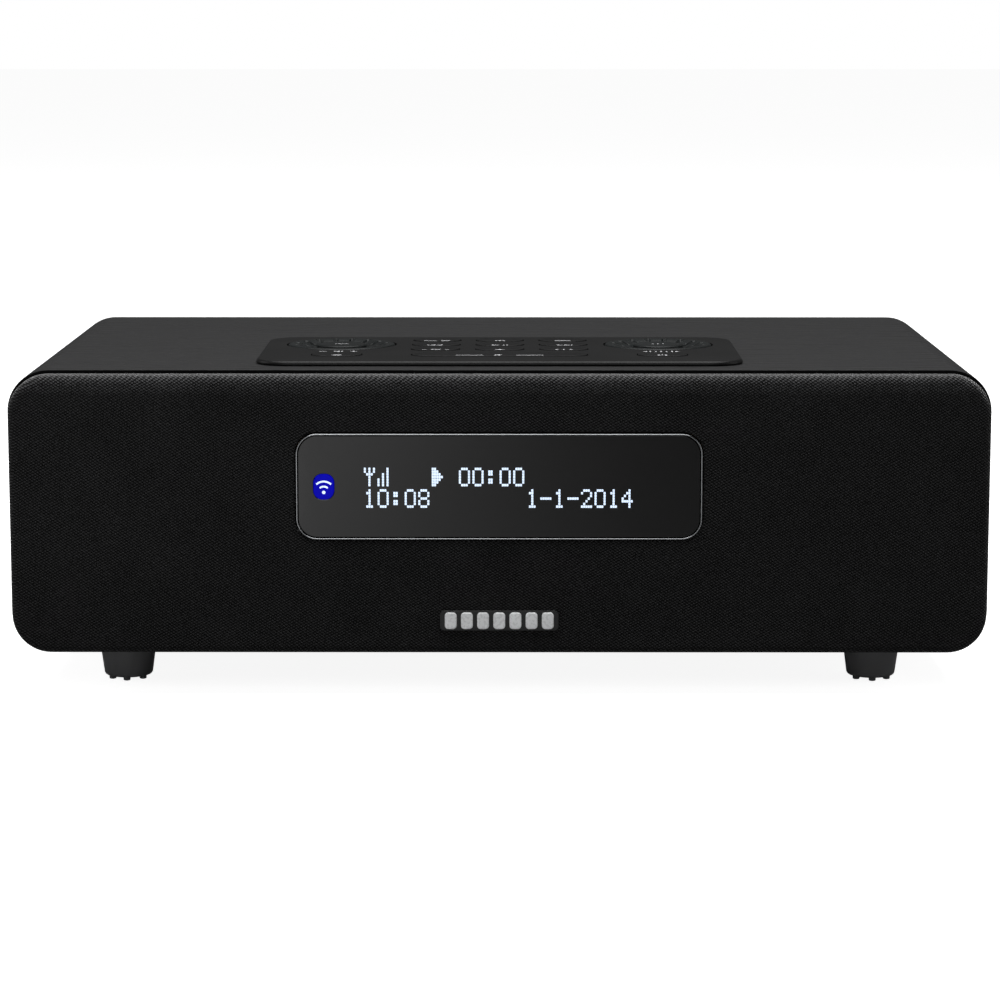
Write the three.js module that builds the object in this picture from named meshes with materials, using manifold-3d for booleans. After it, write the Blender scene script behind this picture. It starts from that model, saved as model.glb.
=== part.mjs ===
// A tabletop radio, built from separate solid pieces.
// Millimetres, +Z up. X runs to the listener's right and the front faces -Y.
// The origin is on the table, midway between the frontmost and the rearmost point.

import * as THREE from "three";
import { mergeVertices } from "three/addons/utils/BufferGeometryUtils.js";
import Module from "manifold-3d";

const wasm = await Module();
wasm.setup();

// ---------- Driving dimensions ----------

const GAP = 0.3; // clearance between neighbouring pieces

const CABINET = { width: 350, height: 102, depth: 197, corner: 15, wall: 10 };
const FEET = {
  height: 15,
  topRadius: 10.6,
  bottomRadius: 8.9,
  fromMiddle: 136.7,
  fromEnds: 28,
  nubs: 6,
  nubRadius: 1.3,
  nubHeight: 1.2,
  nubCircle: 6.4,
  pegRadius: 2.7,
  pegHoleRadius: 3.1,
};
const GRILLE = { inset: 1.2, depth: 9, round: 2.8, cloth: 0.8, shadowGap: 0.6 };
const DISPLAY = { width: 144, height: 38, corner: 7.5, belowTop: 40.6, rim: 0.6, proud: 0.7 };
const INDICATOR = { width: 7.3, height: 9.1, corner: 3.2, x: -62.1 };
const BADGE = { width: 42.3, height: 7.25, belowTop: 88.7, plate: 0.5, proud: 1, bars: 7 };
const BAFFLE = { thickness: 12, speakerHole: 35, pegRadius: 3 };
const SPEAKER = { x: 118, rim: 38.5 };
const PANEL = { width: 176, depth: 87, corner: 12, middle: 54.5, proud: 1.8, plate: 2.2 };
const DIAL = { x: 59.5, y: 70.6, well: 20.6, radius: 20.1, proud: 0.3, notches: 16 };
const PUSH = { radius: 9.4, hole: 9.9, travel: 1 };
const KEY = { width: 17.6, depth: 11, corner: 5, pitch: 23.8, proud: 0.25, travel: 0.8 };
const KEY_ROWS = [85.4, 69.4, 53.4]; // how far each row is behind the cabinet's front edge
const BAR = { width: 64, depth: 12.4, y: 34.4 };
const SMALL_KEY = { width: 18, depth: 12.4 };
const BOARD = { width: 164, depth: 75, thickness: 1.6, top: -6.3, switchHeight: 2.4 };
const REAR = { recess: 2, panel: 3, screwX: 158, screwY: 34, block: 14.5 };
const JACKS = { y: -26, pitch: 22, plateWidth: 74, plateHeight: 22 };
const ANTENNA = { x: -132, y: 30, axis: 7, ear: 3.5, earThickness: 2, tab: 2 };

// The nested tube sections, thickest first; the last one is solid and ends in a knob.
const SECTIONS = [
  { radius: 3.1, bore: 2.65, from: 4.2, to: 175 },
  { radius: 2.3, bore: 1.9, from: 9, to: 177 },
  { radius: 1.6, bore: 1.25, from: 13, to: 179 },
  { radius: 0.95, bore: 0, from: 17, to: 181 },
];
const KNOB = { radius: 3.1, length: 6 };

// The keys, named row by row from the rear, and left to right.
const KEY_NAMES = [
  ["source_key", "info_key", "menu_key"],
  ["previous_key", "play_key", "next_key"],
  ["alarm_key", "preset_key", "equaliser_key"],
];

// ---------- Places worked out from them ----------

const FRONT_REACH = GRILLE.depth + GAP + BADGE.proud;
const REAR_REACH = CABINET.depth + ANTENNA.axis + ANTENNA.ear;
const FRONT_Y = (FRONT_REACH - REAR_REACH) / 2; // the cabinet's front edge
const BACK_Y = FRONT_Y + CABINET.depth;
const TOP_Z = FEET.height + CABINET.height;
const MIDDLE_Z = FEET.height + CABINET.height / 2;
const FLOOR_Z = FEET.height + CABINET.wall; // the inside of the cabinet's floor

const INNER_WIDTH = CABINET.width - 2 * CABINET.wall;
const INNER_HEIGHT = CABINET.height - 2 * CABINET.wall;
const INNER_CORNER = CABINET.corner - CABINET.wall;
const DISPLAY_Y = CABINET.height / 2 - DISPLAY.belowTop; // above the cabinet's middle
const BADGE_Y = CABINET.height / 2 - BADGE.belowTop;
const PANEL_UNDERSIDE = PANEL.proud - PANEL.plate;
const OPENING = { width: 168.6, depth: 80.6, corner: 8.3 }; // in the cabinet's top
const BOARD_BOTTOM = BOARD.top - BOARD.thickness;
const SWITCH_TOP = BOARD.top + BOARD.switchHeight;

// ---------- Materials ----------

function material(color, roughness, metalness = 0) {
  return new THREE.MeshStandardMaterial({ color, roughness, metalness });
}

const veneer = material(0x2c2d2d, 0.55);
const board = material(0x6f5a41, 0.9);
const cloth = material(0x0d0d0e, 0.95);
const framePlastic = material(0x111111, 0.8);
const gloss = material(0x1a1a1b, 0.08);
const chrome = material(0xc9cbcd, 0.12, 1);
const blue = material(0x1822c8, 0.3);
const panelPlastic = material(0x2f3031, 0.5);
const keyPlastic = material(0x333435, 0.45);
const rubber = material(0x161616, 0.85);
const circuit = material(0x1d5a36, 0.6);
const steel = material(0x8c8f92, 0.4, 1);
const paper = material(0x1b1b1b, 0.9);
const rearPlastic = material(0x151515, 0.6);
const jackPlastic = material(0x0c0c0c, 0.45);
const ribbonPlastic = material(0xb9bcc0, 0.6);

// ---------- Solid helpers ----------

// The manifold solid of a closed geometry.
function solidOf(geometry) {
  const bare = new THREE.BufferGeometry();
  const flat = geometry.index ? geometry.toNonIndexed() : geometry;
  bare.setAttribute("position", flat.getAttribute("position"));
  const merged = mergeVertices(bare, 1e-4);
  return new wasm.Manifold(
    new wasm.Mesh({
      numProp: 3,
      vertProperties: merged.getAttribute("position").array,
      triVerts: new Uint32Array(merged.index.array),
    }),
  );
}

function geometryOf(solid) {
  const mesh = solid.getMesh();
  const indexed = new THREE.BufferGeometry();
  indexed.setAttribute("position", new THREE.BufferAttribute(mesh.vertProperties, 3));
  indexed.setIndex(new THREE.BufferAttribute(mesh.triVerts, 1));
  const geometry = indexed.toNonIndexed();
  geometry.computeVertexNormals();
  return geometry;
}

function join(...geometries) {
  return geometryOf(geometries.map(solidOf).reduce((whole, piece) => whole.add(piece)));
}

function cut(geometry, ...cutters) {
  const subtract = (left, cutter) => left.subtract(cutter);
  return geometryOf(cutters.map(solidOf).reduce(subtract, solidOf(geometry)));
}

// ---------- Shape helpers ----------

// Points of a rounded rectangle round x, y, anticlockwise.
function roundedRect(width, height, radius, { steps = 4, x = 0, y = 0 } = {}) {
  const points = [];
  [[1, 1], [-1, 1], [-1, -1], [1, -1]].forEach(([right, up], quarter) => {
    for (let step = 0; step <= steps; step += 1) {
      const angle = ((quarter + step / steps) * Math.PI) / 2;
      const px = x + right * (width / 2 - radius) + radius * Math.cos(angle);
      const py = y + up * (height / 2 - radius) + radius * Math.sin(angle);
      points.push(new THREE.Vector2(px, py));
    }
  });
  return points;
}

function circle(radius, sides, x = 0, y = 0) {
  return Array.from({ length: sides }, (_, side) => {
    const angle = (2 * Math.PI * side) / sides;
    return new THREE.Vector2(x + radius * Math.cos(angle), y + radius * Math.sin(angle));
  });
}

// A straight-sided solid from z = low to z = high.
function prism(outline, low, high, holes = []) {
  const shape = new THREE.Shape(outline);
  shape.holes = holes.map((hole) => new THREE.Path(hole));
  const geometry = new THREE.ExtrudeGeometry(shape, { depth: high - low, bevelEnabled: false });
  return geometry.translate(0, 0, low);
}

function box(width, depth, height, x, y, z) {
  return new THREE.BoxGeometry(width, depth, height).translate(x, y, z);
}

// A round bar along Z, from z = low to z = high.
function post(radius, low, high, { sides = 12, x = 0, y = 0 } = {}) {
  return prism(circle(radius, sides, x, y), low, high);
}

// A solid turned about Z from [radius, z] pairs, listed upwards along its outside.
function turned(profile, sides) {
  const points = profile.map(([radius, z]) => new THREE.Vector2(radius, z));
  return new THREE.LatheGeometry(points, sides).rotateX(Math.PI / 2);
}

// The same for a ring, whose profile closes on itself.
function turnedRing(profile, sides) {
  return turned([...profile, profile[0]], sides);
}

// Layers of a slab from z = low to z = high, with its upper edge rounded.
function roundedEdge(low, high, radius, steps = 3) {
  const layers = [{ z: low, inset: 0 }];
  for (let step = 0; step <= steps; step += 1) {
    const angle = ((step / steps) * Math.PI) / 2;
    layers.push({ z: high - radius * (1 - Math.sin(angle)), inset: radius * (1 - Math.cos(angle)) });
  }
  return layers;
}

// A solid through rounded rectangles stacked along Z.
function slab(width, height, radius, layers, { steps = 4, x = 0, y = 0 } = {}) {
  const rings = layers.map(({ z, inset }) => {
    const outline = roundedRect(width - 2 * inset, height - 2 * inset, radius - inset, { steps, x, y });
    return outline.map((point) => [point.x, point.y, z]);
  });
  const count = rings[0].length;
  const positions = [];
  for (let side = 0; side < count; side += 1) {
    const next = (side + 1) % count;
    for (let layer = 0; layer + 1 < rings.length; layer += 1) {
      const [low, high] = [rings[layer], rings[layer + 1]];
      positions.push(...low[side], ...low[next], ...high[next]);
      positions.push(...low[side], ...high[next], ...high[side]);
    }
    const [bottom, top] = [rings[0], rings[rings.length - 1]];
    positions.push(...bottom[0], ...bottom[next], ...bottom[side]);
    positions.push(...top[0], ...top[side], ...top[next]);
  }
  const geometry = new THREE.BufferGeometry();
  geometry.setAttribute("position", new THREE.Float32BufferAttribute(positions, 3));
  geometry.computeVertexNormals();
  return geometry;
}

// A round lead through the points given, in the whole radio's frame.
function lead(points, radius) {
  const curve = new THREE.CatmullRomCurve3(points.map((point) => new THREE.Vector3(...point)));
  const shape = new THREE.Shape(circle(radius, 6));
  return new THREE.ExtrudeGeometry(shape, { steps: 12, bevelEnabled: false, extrudePath: curve });
}

// A flat cable of constant width, round x, that follows [y, z] pairs.
function flatCable(points, width, thickness, x) {
  const curve = new THREE.SplineCurve(points.map((point) => new THREE.Vector2(...point)));
  const sides = [[], []];
  const steps = 12;
  for (let step = 0; step <= steps; step += 1) {
    const point = curve.getPoint(step / steps);
    const along = curve.getTangent(step / steps);
    const across = new THREE.Vector2(-along.y, along.x).multiplyScalar(thickness / 2);
    sides[0].push(point.clone().sub(across));
    sides[1].unshift(point.clone().add(across));
  }
  const toRadio = new THREE.Matrix4().makeBasis(
    new THREE.Vector3(0, 1, 0),
    new THREE.Vector3(0, 0, 1),
    new THREE.Vector3(1, 0, 0),
  );
  return prism(sides.flat(), x - width / 2, x + width / 2).applyMatrix4(toRadio);
}

// ---------- Groups, each with its own frame ----------

const radio = new THREE.Group();

// x right, y up from the cabinet's middle, z towards the listener from the cabinet's front edge
const front = new THREE.Group();
front.rotation.x = Math.PI / 2;
front.position.set(0, FRONT_Y, MIDDLE_Z);

// x right, y back from the cabinet's front edge, z up from the cabinet's top
const top = new THREE.Group();
top.position.set(0, FRONT_Y, TOP_Z);

// seen from behind: x right, y up from the cabinet's middle, z back from the cabinet's rear edge
const rear = new THREE.Group();
rear.rotation.set(Math.PI / 2, Math.PI, 0);
rear.position.set(0, BACK_Y, MIDDLE_Z);

radio.add(front, top, rear);

function add(group, name, geometry, look) {
  const mesh = new THREE.Mesh(geometry, look);
  mesh.name = name;
  group.add(mesh);
  return mesh;
}

// ---------- Cabinet ----------

const FOOT_PLACES = [
  ["foot_front_left", -FEET.fromMiddle, FRONT_Y + FEET.fromEnds],
  ["foot_front_right", FEET.fromMiddle, FRONT_Y + FEET.fromEnds],
  ["foot_rear_left", -FEET.fromMiddle, BACK_Y - FEET.fromEnds],
  ["foot_rear_right", FEET.fromMiddle, BACK_Y - FEET.fromEnds],
];

// A square block glued into each rear corner, with a hole for the rear panel's screw.
function cornerBlocks() {
  const length = 14;
  const back = BACK_Y - REAR.recess - REAR.panel - GAP;
  const places = [[-1, -1], [-1, 1], [1, -1], [1, 1]];
  return places.map(([right, up]) => {
    const x = right * REAR.screwX;
    const z = MIDDLE_Z + up * REAR.screwY;
    const hole = new THREE.CylinderGeometry(1.8, 1.8, 3 * length, 8).translate(x, back, z);
    return cut(box(REAR.block, length, REAR.block, x, back - length / 2, z), hole);
  });
}

function cabinetShell() {
  const outer = roundedRect(CABINET.width, CABINET.height, CABINET.corner, { steps: 7 });
  const inner = roundedRect(INNER_WIDTH, INNER_HEIGHT, INNER_CORNER, { steps: 3 });
  const tube = prism(outer, -CABINET.depth, 0, [inner]);
  tube.rotateX(Math.PI / 2).translate(0, FRONT_Y, MIDDLE_Z);
  const openingOutline = roundedRect(OPENING.width, OPENING.depth, OPENING.corner);
  const opening = prism(openingOutline, -2 * CABINET.wall, CABINET.wall);
  opening.translate(0, FRONT_Y + PANEL.middle, TOP_Z);
  const pegHoles = FOOT_PLACES.map(([, x, y]) =>
    post(FEET.pegHoleRadius, 0, FLOOR_Z + 1, { x, y }),
  );
  return cut(join(tube, ...cornerBlocks()), opening, ...pegHoles);
}

// A tapered foot on six nubs, with a peg that plugs into the cabinet's floor.
function foot() {
  const bodyTop = FEET.height - GAP;
  const body = turned(
    [
      [0, FEET.nubHeight],
      [FEET.bottomRadius - 1.5, FEET.nubHeight],
      [FEET.bottomRadius - 0.4, FEET.nubHeight + 0.4],
      [FEET.bottomRadius, FEET.nubHeight + 1.5],
      [FEET.topRadius, bodyTop],
      [FEET.pegRadius, bodyTop],
      [FEET.pegRadius, FLOOR_Z - 3],
      [0, FLOOR_Z - 3],
    ],
    16,
  );
  const nubs = [];
  for (let nub = 0; nub < FEET.nubs; nub += 1) {
    const angle = (2 * Math.PI * nub) / FEET.nubs - Math.PI / 2;
    const x = FEET.nubCircle * Math.cos(angle);
    const y = FEET.nubCircle * Math.sin(angle);
    nubs.push(post(FEET.nubRadius, 0, FEET.nubHeight + GAP, { sides: 6, x, y }));
  }
  return join(body, ...nubs);
}

add(radio, "cabinet_shell", cabinetShell(), veneer);
for (const [name, x, y] of FOOT_PLACES) {
  add(radio, name, foot(), rubber).position.set(x, y, 0);
}

// ---------- Front: baffle, grille, display, badge ----------

const PEGS = [[-160.5, -30], [-160.5, 30], [-40, -32], [40, -32], [160.5, -30], [160.5, 30]];
const CLOTH = {
  width: CABINET.width - 2 * GRILLE.inset,
  height: CABINET.height - 2 * GRILLE.inset,
  corner: CABINET.corner - GRILLE.inset,
};
const FRAME_INSET = GRILLE.cloth + GAP; // from the cloth's outside to the frame

function frontBaffle() {
  const outline = roundedRect(INNER_WIDTH - 2 * GAP, INNER_HEIGHT - 2 * GAP, INNER_CORNER - GAP);
  const holes = [-SPEAKER.x, SPEAKER.x].map((x) => circle(BAFFLE.speakerHole, 24, x));
  holes.push(roundedRect(DISPLAY.width - 8, DISPLAY.height - 6, 4, { steps: 2, y: DISPLAY_Y }));
  holes.push(...PEGS.map(([x, y]) => circle(BAFFLE.pegRadius + 2 * GAP, 8, x, y)));
  return prism(outline, -BAFFLE.thickness, 0, holes);
}

function displayOutline(offset, steps = 4) {
  const width = DISPLAY.width + 2 * offset;
  const height = DISPLAY.height + 2 * offset;
  return roundedRect(width, height, DISPLAY.corner + offset, { steps, y: DISPLAY_Y });
}

// The frame has a slotted field in front of each speaker, a hole for the display, and plug-in pegs.
function grilleFrame() {
  const width = CLOTH.width - 2 * FRAME_INSET;
  const height = CLOTH.height - 2 * FRAME_INSET;
  const layers = roundedEdge(GAP, GRILLE.depth - FRAME_INSET, GRILLE.round - FRAME_INSET, 2);
  const slots = [];
  const slot = { width: 16, height: 74, pitch: 19.5, perSpeaker: 4 };
  for (const side of [-1, 1]) {
    for (let place = 0; place < slot.perSpeaker; place += 1) {
      const x = side * (SPEAKER.x + (place - (slot.perSpeaker - 1) / 2) * slot.pitch);
      slots.push(prism(roundedRect(slot.width, slot.height, 4, { steps: 1, x }), -1, GRILLE.depth));
    }
  }
  const pegs = PEGS.map(([x, y]) =>
    post(BAFFLE.pegRadius, 2 - BAFFLE.thickness, 1, { sides: 6, x, y }),
  );
  const opening = prism(displayOutline(FRAME_INSET + GAP), -1, GRILLE.depth);
  return cut(join(slab(width, height, CLOTH.corner - FRAME_INSET, layers), ...pegs), opening, ...slots);
}

// The cloth wraps the frame's front and sides, and turns into the opening for the display.
function grilleCloth() {
  const outside = roundedEdge(GRILLE.shadowGap, GRILLE.depth, GRILLE.round, 3);
  const inside = roundedEdge(-1, GRILLE.depth - GRILLE.cloth, GRILLE.round - GRILLE.cloth, 2);
  const skin = cut(
    slab(CLOTH.width, CLOTH.height, CLOTH.corner, outside, { steps: 5 }),
    slab(
      CLOTH.width - 2 * GRILLE.cloth,
      CLOTH.height - 2 * GRILLE.cloth,
      CLOTH.corner - GRILLE.cloth,
      inside,
      { steps: 5 },
    ),
  );
  const lip = prism(displayOutline(GAP + GRILLE.cloth), 3, GRILLE.depth - GRILLE.cloth / 2);
  return cut(join(skin, lip), prism(displayOutline(GAP), 0, GRILLE.depth + 1));
}

function displayBezel() {
  const high = GRILLE.depth + DISPLAY.proud;
  const layers = [{ z: GAP, inset: 0 }, { z: high - 0.5, inset: 0 }, { z: high, inset: 0.5 }];
  const outside = slab(DISPLAY.width, DISPLAY.height, DISPLAY.corner, layers, { y: DISPLAY_Y });
  return cut(outside, prism(displayOutline(-DISPLAY.rim), 0, high + 1));
}

const WINDOW_FRONT = GRILLE.depth + GAP;
const WINDOW_BACK = WINDOW_FRONT - 2;

function displayWindow() {
  const { width, height, corner, x } = INDICATOR;
  const hole = roundedRect(width + 0.2, height + 0.2, corner, { x, y: DISPLAY_Y });
  return prism(displayOutline(-DISPLAY.rim - GAP), WINDOW_BACK, WINDOW_FRONT, [hole]);
}

function indicatorLens() {
  const { width, height, corner, x } = INDICATOR;
  return prism(roundedRect(width, height, corner, { x, y: DISPLAY_Y }), 3, WINDOW_FRONT);
}

// The display's glass-fronted block on its carrier board.
function displayModule() {
  const carrier = prism(displayOutline(-DISPLAY.rim - 2 * GAP, 3), GAP, GAP + 1.6);
  const screen = box(100, 29, 5.4, 0, DISPLAY_Y, WINDOW_BACK - GAP - 2.7);
  return join(carrier, screen);
}

// A plain badge: a thin plate with a row of raised rounded bars.
function badge() {
  const low = GRILLE.depth + GAP;
  const plateTop = low + BADGE.plate;
  const plate = prism(roundedRect(BADGE.width, BADGE.height, 1.6, { steps: 2, y: BADGE_Y }), low, plateTop);
  const pitch = (BADGE.width - 2) / BADGE.bars;
  const bars = [];
  for (let place = 0; place < BADGE.bars; place += 1) {
    const x = (place - (BADGE.bars - 1) / 2) * pitch;
    const layers = roundedEdge(plateTop - 0.2, low + BADGE.proud, 0.3, 1);
    bars.push(slab(pitch - 1.2, BADGE.height - 1.8, 1.2, layers, { steps: 1, x, y: BADGE_Y }));
  }
  return join(plate, ...bars);
}

add(front, "front_baffle", frontBaffle(), board);
add(front, "grille_frame", grilleFrame(), framePlastic);
add(front, "grille_cloth", grilleCloth(), cloth);
add(front, "display_bezel", displayBezel(), chrome);
add(front, "display_window", displayWindow(), gloss);
add(front, "indicator_lens", indicatorLens(), blue);
add(front, "display_module", displayModule(), circuit);
add(front, "badge_plate", badge(), chrome);

// ---------- Speakers, behind the baffle ----------

function speakerBasket() {
  const face = -BAFFLE.thickness - GAP;
  return turnedRing(
    [
      [13, face - 21],
      [25.2, face - 21],
      [34.9, face - 2],
      [SPEAKER.rim, face - 2],
      [SPEAKER.rim, face],
      [33.4, face],
      [33.4, face - 1.2],
      [24.4, face - 19.6],
      [13, face - 19.6],
    ],
    20,
  );
}

// The cone, its rolled surround and its dust cap.
function speakerCone() {
  const face = -BAFFLE.thickness;
  return turned(
    [
      [0, face - 13.2],
      [12, face - 14.4],
      [31, face - 1.8],
      [32.9, face - 1.4],
      [32.9, face - 0.4],
      [31.4, face + 1],
      [29.4, face + 0.4],
      [28.6, face - 1.4],
      [12.4, face - 12],
      [8, face - 9.6],
      [0, face - 8.4],
    ],
    20,
  );
}

function speakerMagnet() {
  const face = -BAFFLE.thickness - 21 - 2 * GAP;
  return turned(
    [
      [0, face - 16],
      [20, face - 16],
      [27, face - 14.5],
      [27, face - 2.2],
      [22, face - 2.2],
      [22, face],
      [0, face],
    ],
    16,
  );
}

for (const [side, x] of [["left", -SPEAKER.x], ["right", SPEAKER.x]]) {
  const speaker = new THREE.Group();
  speaker.position.x = x;
  front.add(speaker);
  add(speaker, `${side}_speaker_basket`, speakerBasket(), steel);
  add(speaker, `${side}_speaker_cone`, speakerCone(), paper);
  add(speaker, `${side}_speaker_magnet`, speakerMagnet(), steel);
}

// ---------- Top: control panel, dials, keys ----------

const DIAL_XS = [-DIAL.x, DIAL.x];

// Every key: its name, place and the size of its cap.
function keyList() {
  const keys = [];
  KEY_NAMES.forEach((names, row) => {
    names.forEach((name, column) => {
      const x = (column - 1) * KEY.pitch;
      keys.push({ name, x, y: KEY_ROWS[row], width: KEY.width, depth: KEY.depth });
    });
  });
  keys.push({ name: "snooze_bar", x: 0, y: BAR.y, width: BAR.width, depth: BAR.depth });
  keys.push({ name: "dimmer_key", x: -DIAL.x, y: BAR.y, ...SMALL_KEY });
  keys.push({ name: "power_key", x: DIAL.x, y: BAR.y, ...SMALL_KEY });
  return keys;
}

const KEYS = keyList();

// Four prongs on the skirt that snap in under the cabinet's top.
function snapProngs(skirtDepth) {
  const prongs = [];
  for (const side of [-1, 1]) {
    for (const x of [-30, 30]) {
      const face = PANEL.middle + side * (skirtDepth / 2 - 0.9);
      prongs.push(box(8, 1.8, 7, x, face, -8.2));
      prongs.push(box(8, 3, 1, x, face + side * 0.7, -11.2));
    }
  }
  return prongs;
}

function controlPanel() {
  const y = PANEL.middle;
  const skirt = { width: OPENING.width - 2 * GAP, depth: OPENING.depth - 2 * GAP, wall: 1.8 };
  const corner = OPENING.corner - GAP;
  const layers = roundedEdge(GAP, PANEL.proud, 1.2, 3);
  const flange = slab(PANEL.width, PANEL.depth, PANEL.corner, layers, { steps: 6, y });
  const plug = prism(roundedRect(skirt.width, skirt.depth, corner, { y }), -6, 1);
  const hollow = roundedRect(
    skirt.width - 2 * skirt.wall,
    skirt.depth - 2 * skirt.wall,
    corner - skirt.wall,
    { y },
  );
  const wells = DIAL_XS.map((x) => post(DIAL.well, -7, 3, { sides: 32, x, y: DIAL.y }));
  const holes = KEYS.map((key) => {
    const place = { steps: 2, x: key.x, y: key.y };
    const outline = roundedRect(key.width + 0.7, key.depth + 0.7, KEY.corner + 0.35, place);
    return prism(outline, -7, 3);
  });
  const shell = cut(join(flange, plug), prism(hollow, -7, PANEL_UNDERSIDE), ...wells, ...holes);
  return join(shell, ...snapProngs(skirt.depth));
}

// The board under the panel carries one switch under each key and under each push button.
function controlBoard() {
  const y = PANEL.middle;
  const outline = roundedRect(BOARD.width, BOARD.depth, 4, { steps: 2, y });
  const places = [...KEYS, ...DIAL_XS.map((x) => ({ x, y: DIAL.y }))];
  const switches = places.map((place) =>
    box(6, 6, BOARD.switchHeight + 0.5, place.x, place.y, SWITCH_TOP - (BOARD.switchHeight + 0.5) / 2),
  );
  return join(prism(outline, BOARD_BOTTOM, BOARD.top), ...switches);
}

// A ring-shaped encoder body, which the dial turns on and the push button's stem passes through.
function encoder() {
  const low = BOARD.top + GAP;
  return turnedRing([[7, low], [16, low], [16, -3], [7, -3]], 20);
}

// The dial: a shallow dished ring with radial grip notches in its slope.
function dial() {
  const crest = PANEL.proud + DIAL.proud;
  const slope = { inner: 11.2, outer: 17.2, drop: 1.7 };
  const ring = turnedRing(
    [
      [PUSH.hole, -2.6],
      [DIAL.radius, -2.6],
      [DIAL.radius, crest - 0.8],
      [DIAL.radius - 0.7, crest - 0.1],
      [slope.outer, crest],
      [slope.inner, crest - slope.drop],
      [PUSH.hole, crest - slope.drop],
    ],
    32,
  );
  const pitch = Math.atan2(slope.drop, slope.outer - slope.inner);
  const notches = [];
  for (let notch = 0; notch < DIAL.notches; notch += 1) {
    const groove = new THREE.CylinderGeometry(0.9, 0.9, 5, 5).rotateZ(Math.PI / 2).rotateY(-pitch);
    groove.translate((slope.inner + slope.outer) / 2, 0, crest - slope.drop / 2 + 0.2);
    notches.push(groove.rotateZ((2 * Math.PI * (notch + 0.5)) / DIAL.notches));
  }
  return cut(ring, ...notches);
}

function pushButton() {
  const face = PANEL.proud + 0.2;
  const stemEnd = SWITCH_TOP + PUSH.travel + GAP;
  return turned(
    [
      [0, stemEnd],
      [2.5, stemEnd],
      [2.5, -1.4],
      [PUSH.radius, -1.4],
      [PUSH.radius, face - 0.7],
      [PUSH.radius - 0.6, face - 0.1],
      [PUSH.radius - 3, face],
      [0, face],
    ],
    24,
  );
}

// A key: a rounded cap, a wider flange that holds it under the panel, and a stem over its switch.
function keyCap(width, depth) {
  const face = PANEL.proud + KEY.proud;
  const flangeTop = PANEL_UNDERSIDE - GAP;
  const stemEnd = SWITCH_TOP + KEY.travel + GAP;
  const cap = slab(width, depth, KEY.corner, roundedEdge(flangeTop - 0.5, face, 0.5, 1), { steps: 2 });
  const flange = box(width + 1.8, depth + 1.8, 1, 0, 0, flangeTop - 0.5);
  const stem = box(4, 4, flangeTop - stemEnd - 0.5, 0, 0, (flangeTop + stemEnd - 0.5) / 2);
  return join(cap, flange, stem);
}

add(top, "control_panel", controlPanel(), panelPlastic);
add(top, "control_board", controlBoard(), circuit);
const DIALS = [
  { x: -DIAL.x, dialName: "volume_dial", pushName: "mute_button", encoderName: "volume_encoder" },
  { x: DIAL.x, dialName: "tuning_dial", pushName: "select_button", encoderName: "tuning_encoder" },
];
for (const { x, dialName, pushName, encoderName } of DIALS) {
  add(top, encoderName, encoder(), jackPlastic).position.set(x, DIAL.y, 0);
  add(top, dialName, dial(), keyPlastic).position.set(x, DIAL.y, 0);
  add(top, pushName, pushButton(), keyPlastic).position.set(x, DIAL.y, 0);
}
for (const key of KEYS) {
  add(top, key.name, keyCap(key.width, key.depth), keyPlastic).position.set(key.x, key.y, 0);
}

// ---------- Inside: main board and its cables ----------

const MAIN = { width: 150, depth: 70, from: 108, top: 35.6, thickness: 1.6 };

// The main board on its posts, with a heat sink, capacitors and the row of plugs at its front.
function mainBoard() {
  const middle = FRONT_Y + MAIN.from + MAIN.depth / 2;
  const pieces = [box(MAIN.width, MAIN.depth, MAIN.thickness, 0, middle, MAIN.top - MAIN.thickness / 2)];
  for (const x of [-MAIN.width / 2 + 5, MAIN.width / 2 - 5]) {
    for (const y of [middle - MAIN.depth / 2 + 5, middle + MAIN.depth / 2 - 5]) {
      pieces.push(post(2.5, FLOOR_Z + GAP, MAIN.top - 0.5, { sides: 8, x, y }));
    }
  }
  for (const x of [-30, 0, 30]) {
    pieces.push(box(x === 0 ? 16 : 8, 6, 6.5, x, FRONT_Y + MAIN.from + 4, MAIN.top + 2.75));
  }
  pieces.push(box(34, 12, 22.5, -45, middle + 18, MAIN.top + 10.75));
  for (const x of [35, 50]) {
    pieces.push(post(6, MAIN.top - 0.5, MAIN.top + 16, { sides: 10, x, y: middle + 15 }));
  }
  pieces.push(box(18, 7, 6.5, 45, middle - 12, MAIN.top + 2.75));
  return join(...pieces);
}

const PLUG_Y = FRONT_Y + MAIN.from + 1 - GAP; // the front faces of the main board's plugs
const PLUG_Z = MAIN.top + 3;

// From a speaker's side terminal down and back to the main board.
function speakerLead(side) {
  return lead(
    [
      [side * (SPEAKER.x - 26.9), FRONT_Y + 31, MIDDLE_Z],
      [side * (SPEAKER.x - 36), FRONT_Y + 35, MIDDLE_Z - 8],
      [side * 66, FRONT_Y + 56, FLOOR_Z + 12],
      [side * 45, FRONT_Y + 82, FLOOR_Z + 7],
      [side * 31, FRONT_Y + 98, PLUG_Z - 1],
      [side * 30, PLUG_Y, PLUG_Z],
    ],
    1.1,
  );
}

function displayRibbon() {
  const start = MIDDLE_Z + DISPLAY_Y - 6;
  const route = [
    [FRONT_Y, start],
    [FRONT_Y + 14, start - 1],
    [FRONT_Y + 55, 52],
    [FRONT_Y + 92, PLUG_Z + 1],
    [PLUG_Y, PLUG_Z],
  ];
  return flatCable(route, 13, 0.7, 0);
}

function controlRibbon() {
  const start = TOP_Z + BOARD_BOTTOM - GAP;
  const y = FRONT_Y + MAIN.from + MAIN.depth / 2 - 12;
  const route = [[FRONT_Y + 60, start], [FRONT_Y + 61, start - 10], [FRONT_Y + 95, 80], [y - 1, 56]];
  return flatCable([...route, [y, MAIN.top + 6 + GAP]], 13, 0.7, 45);
}

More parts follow.
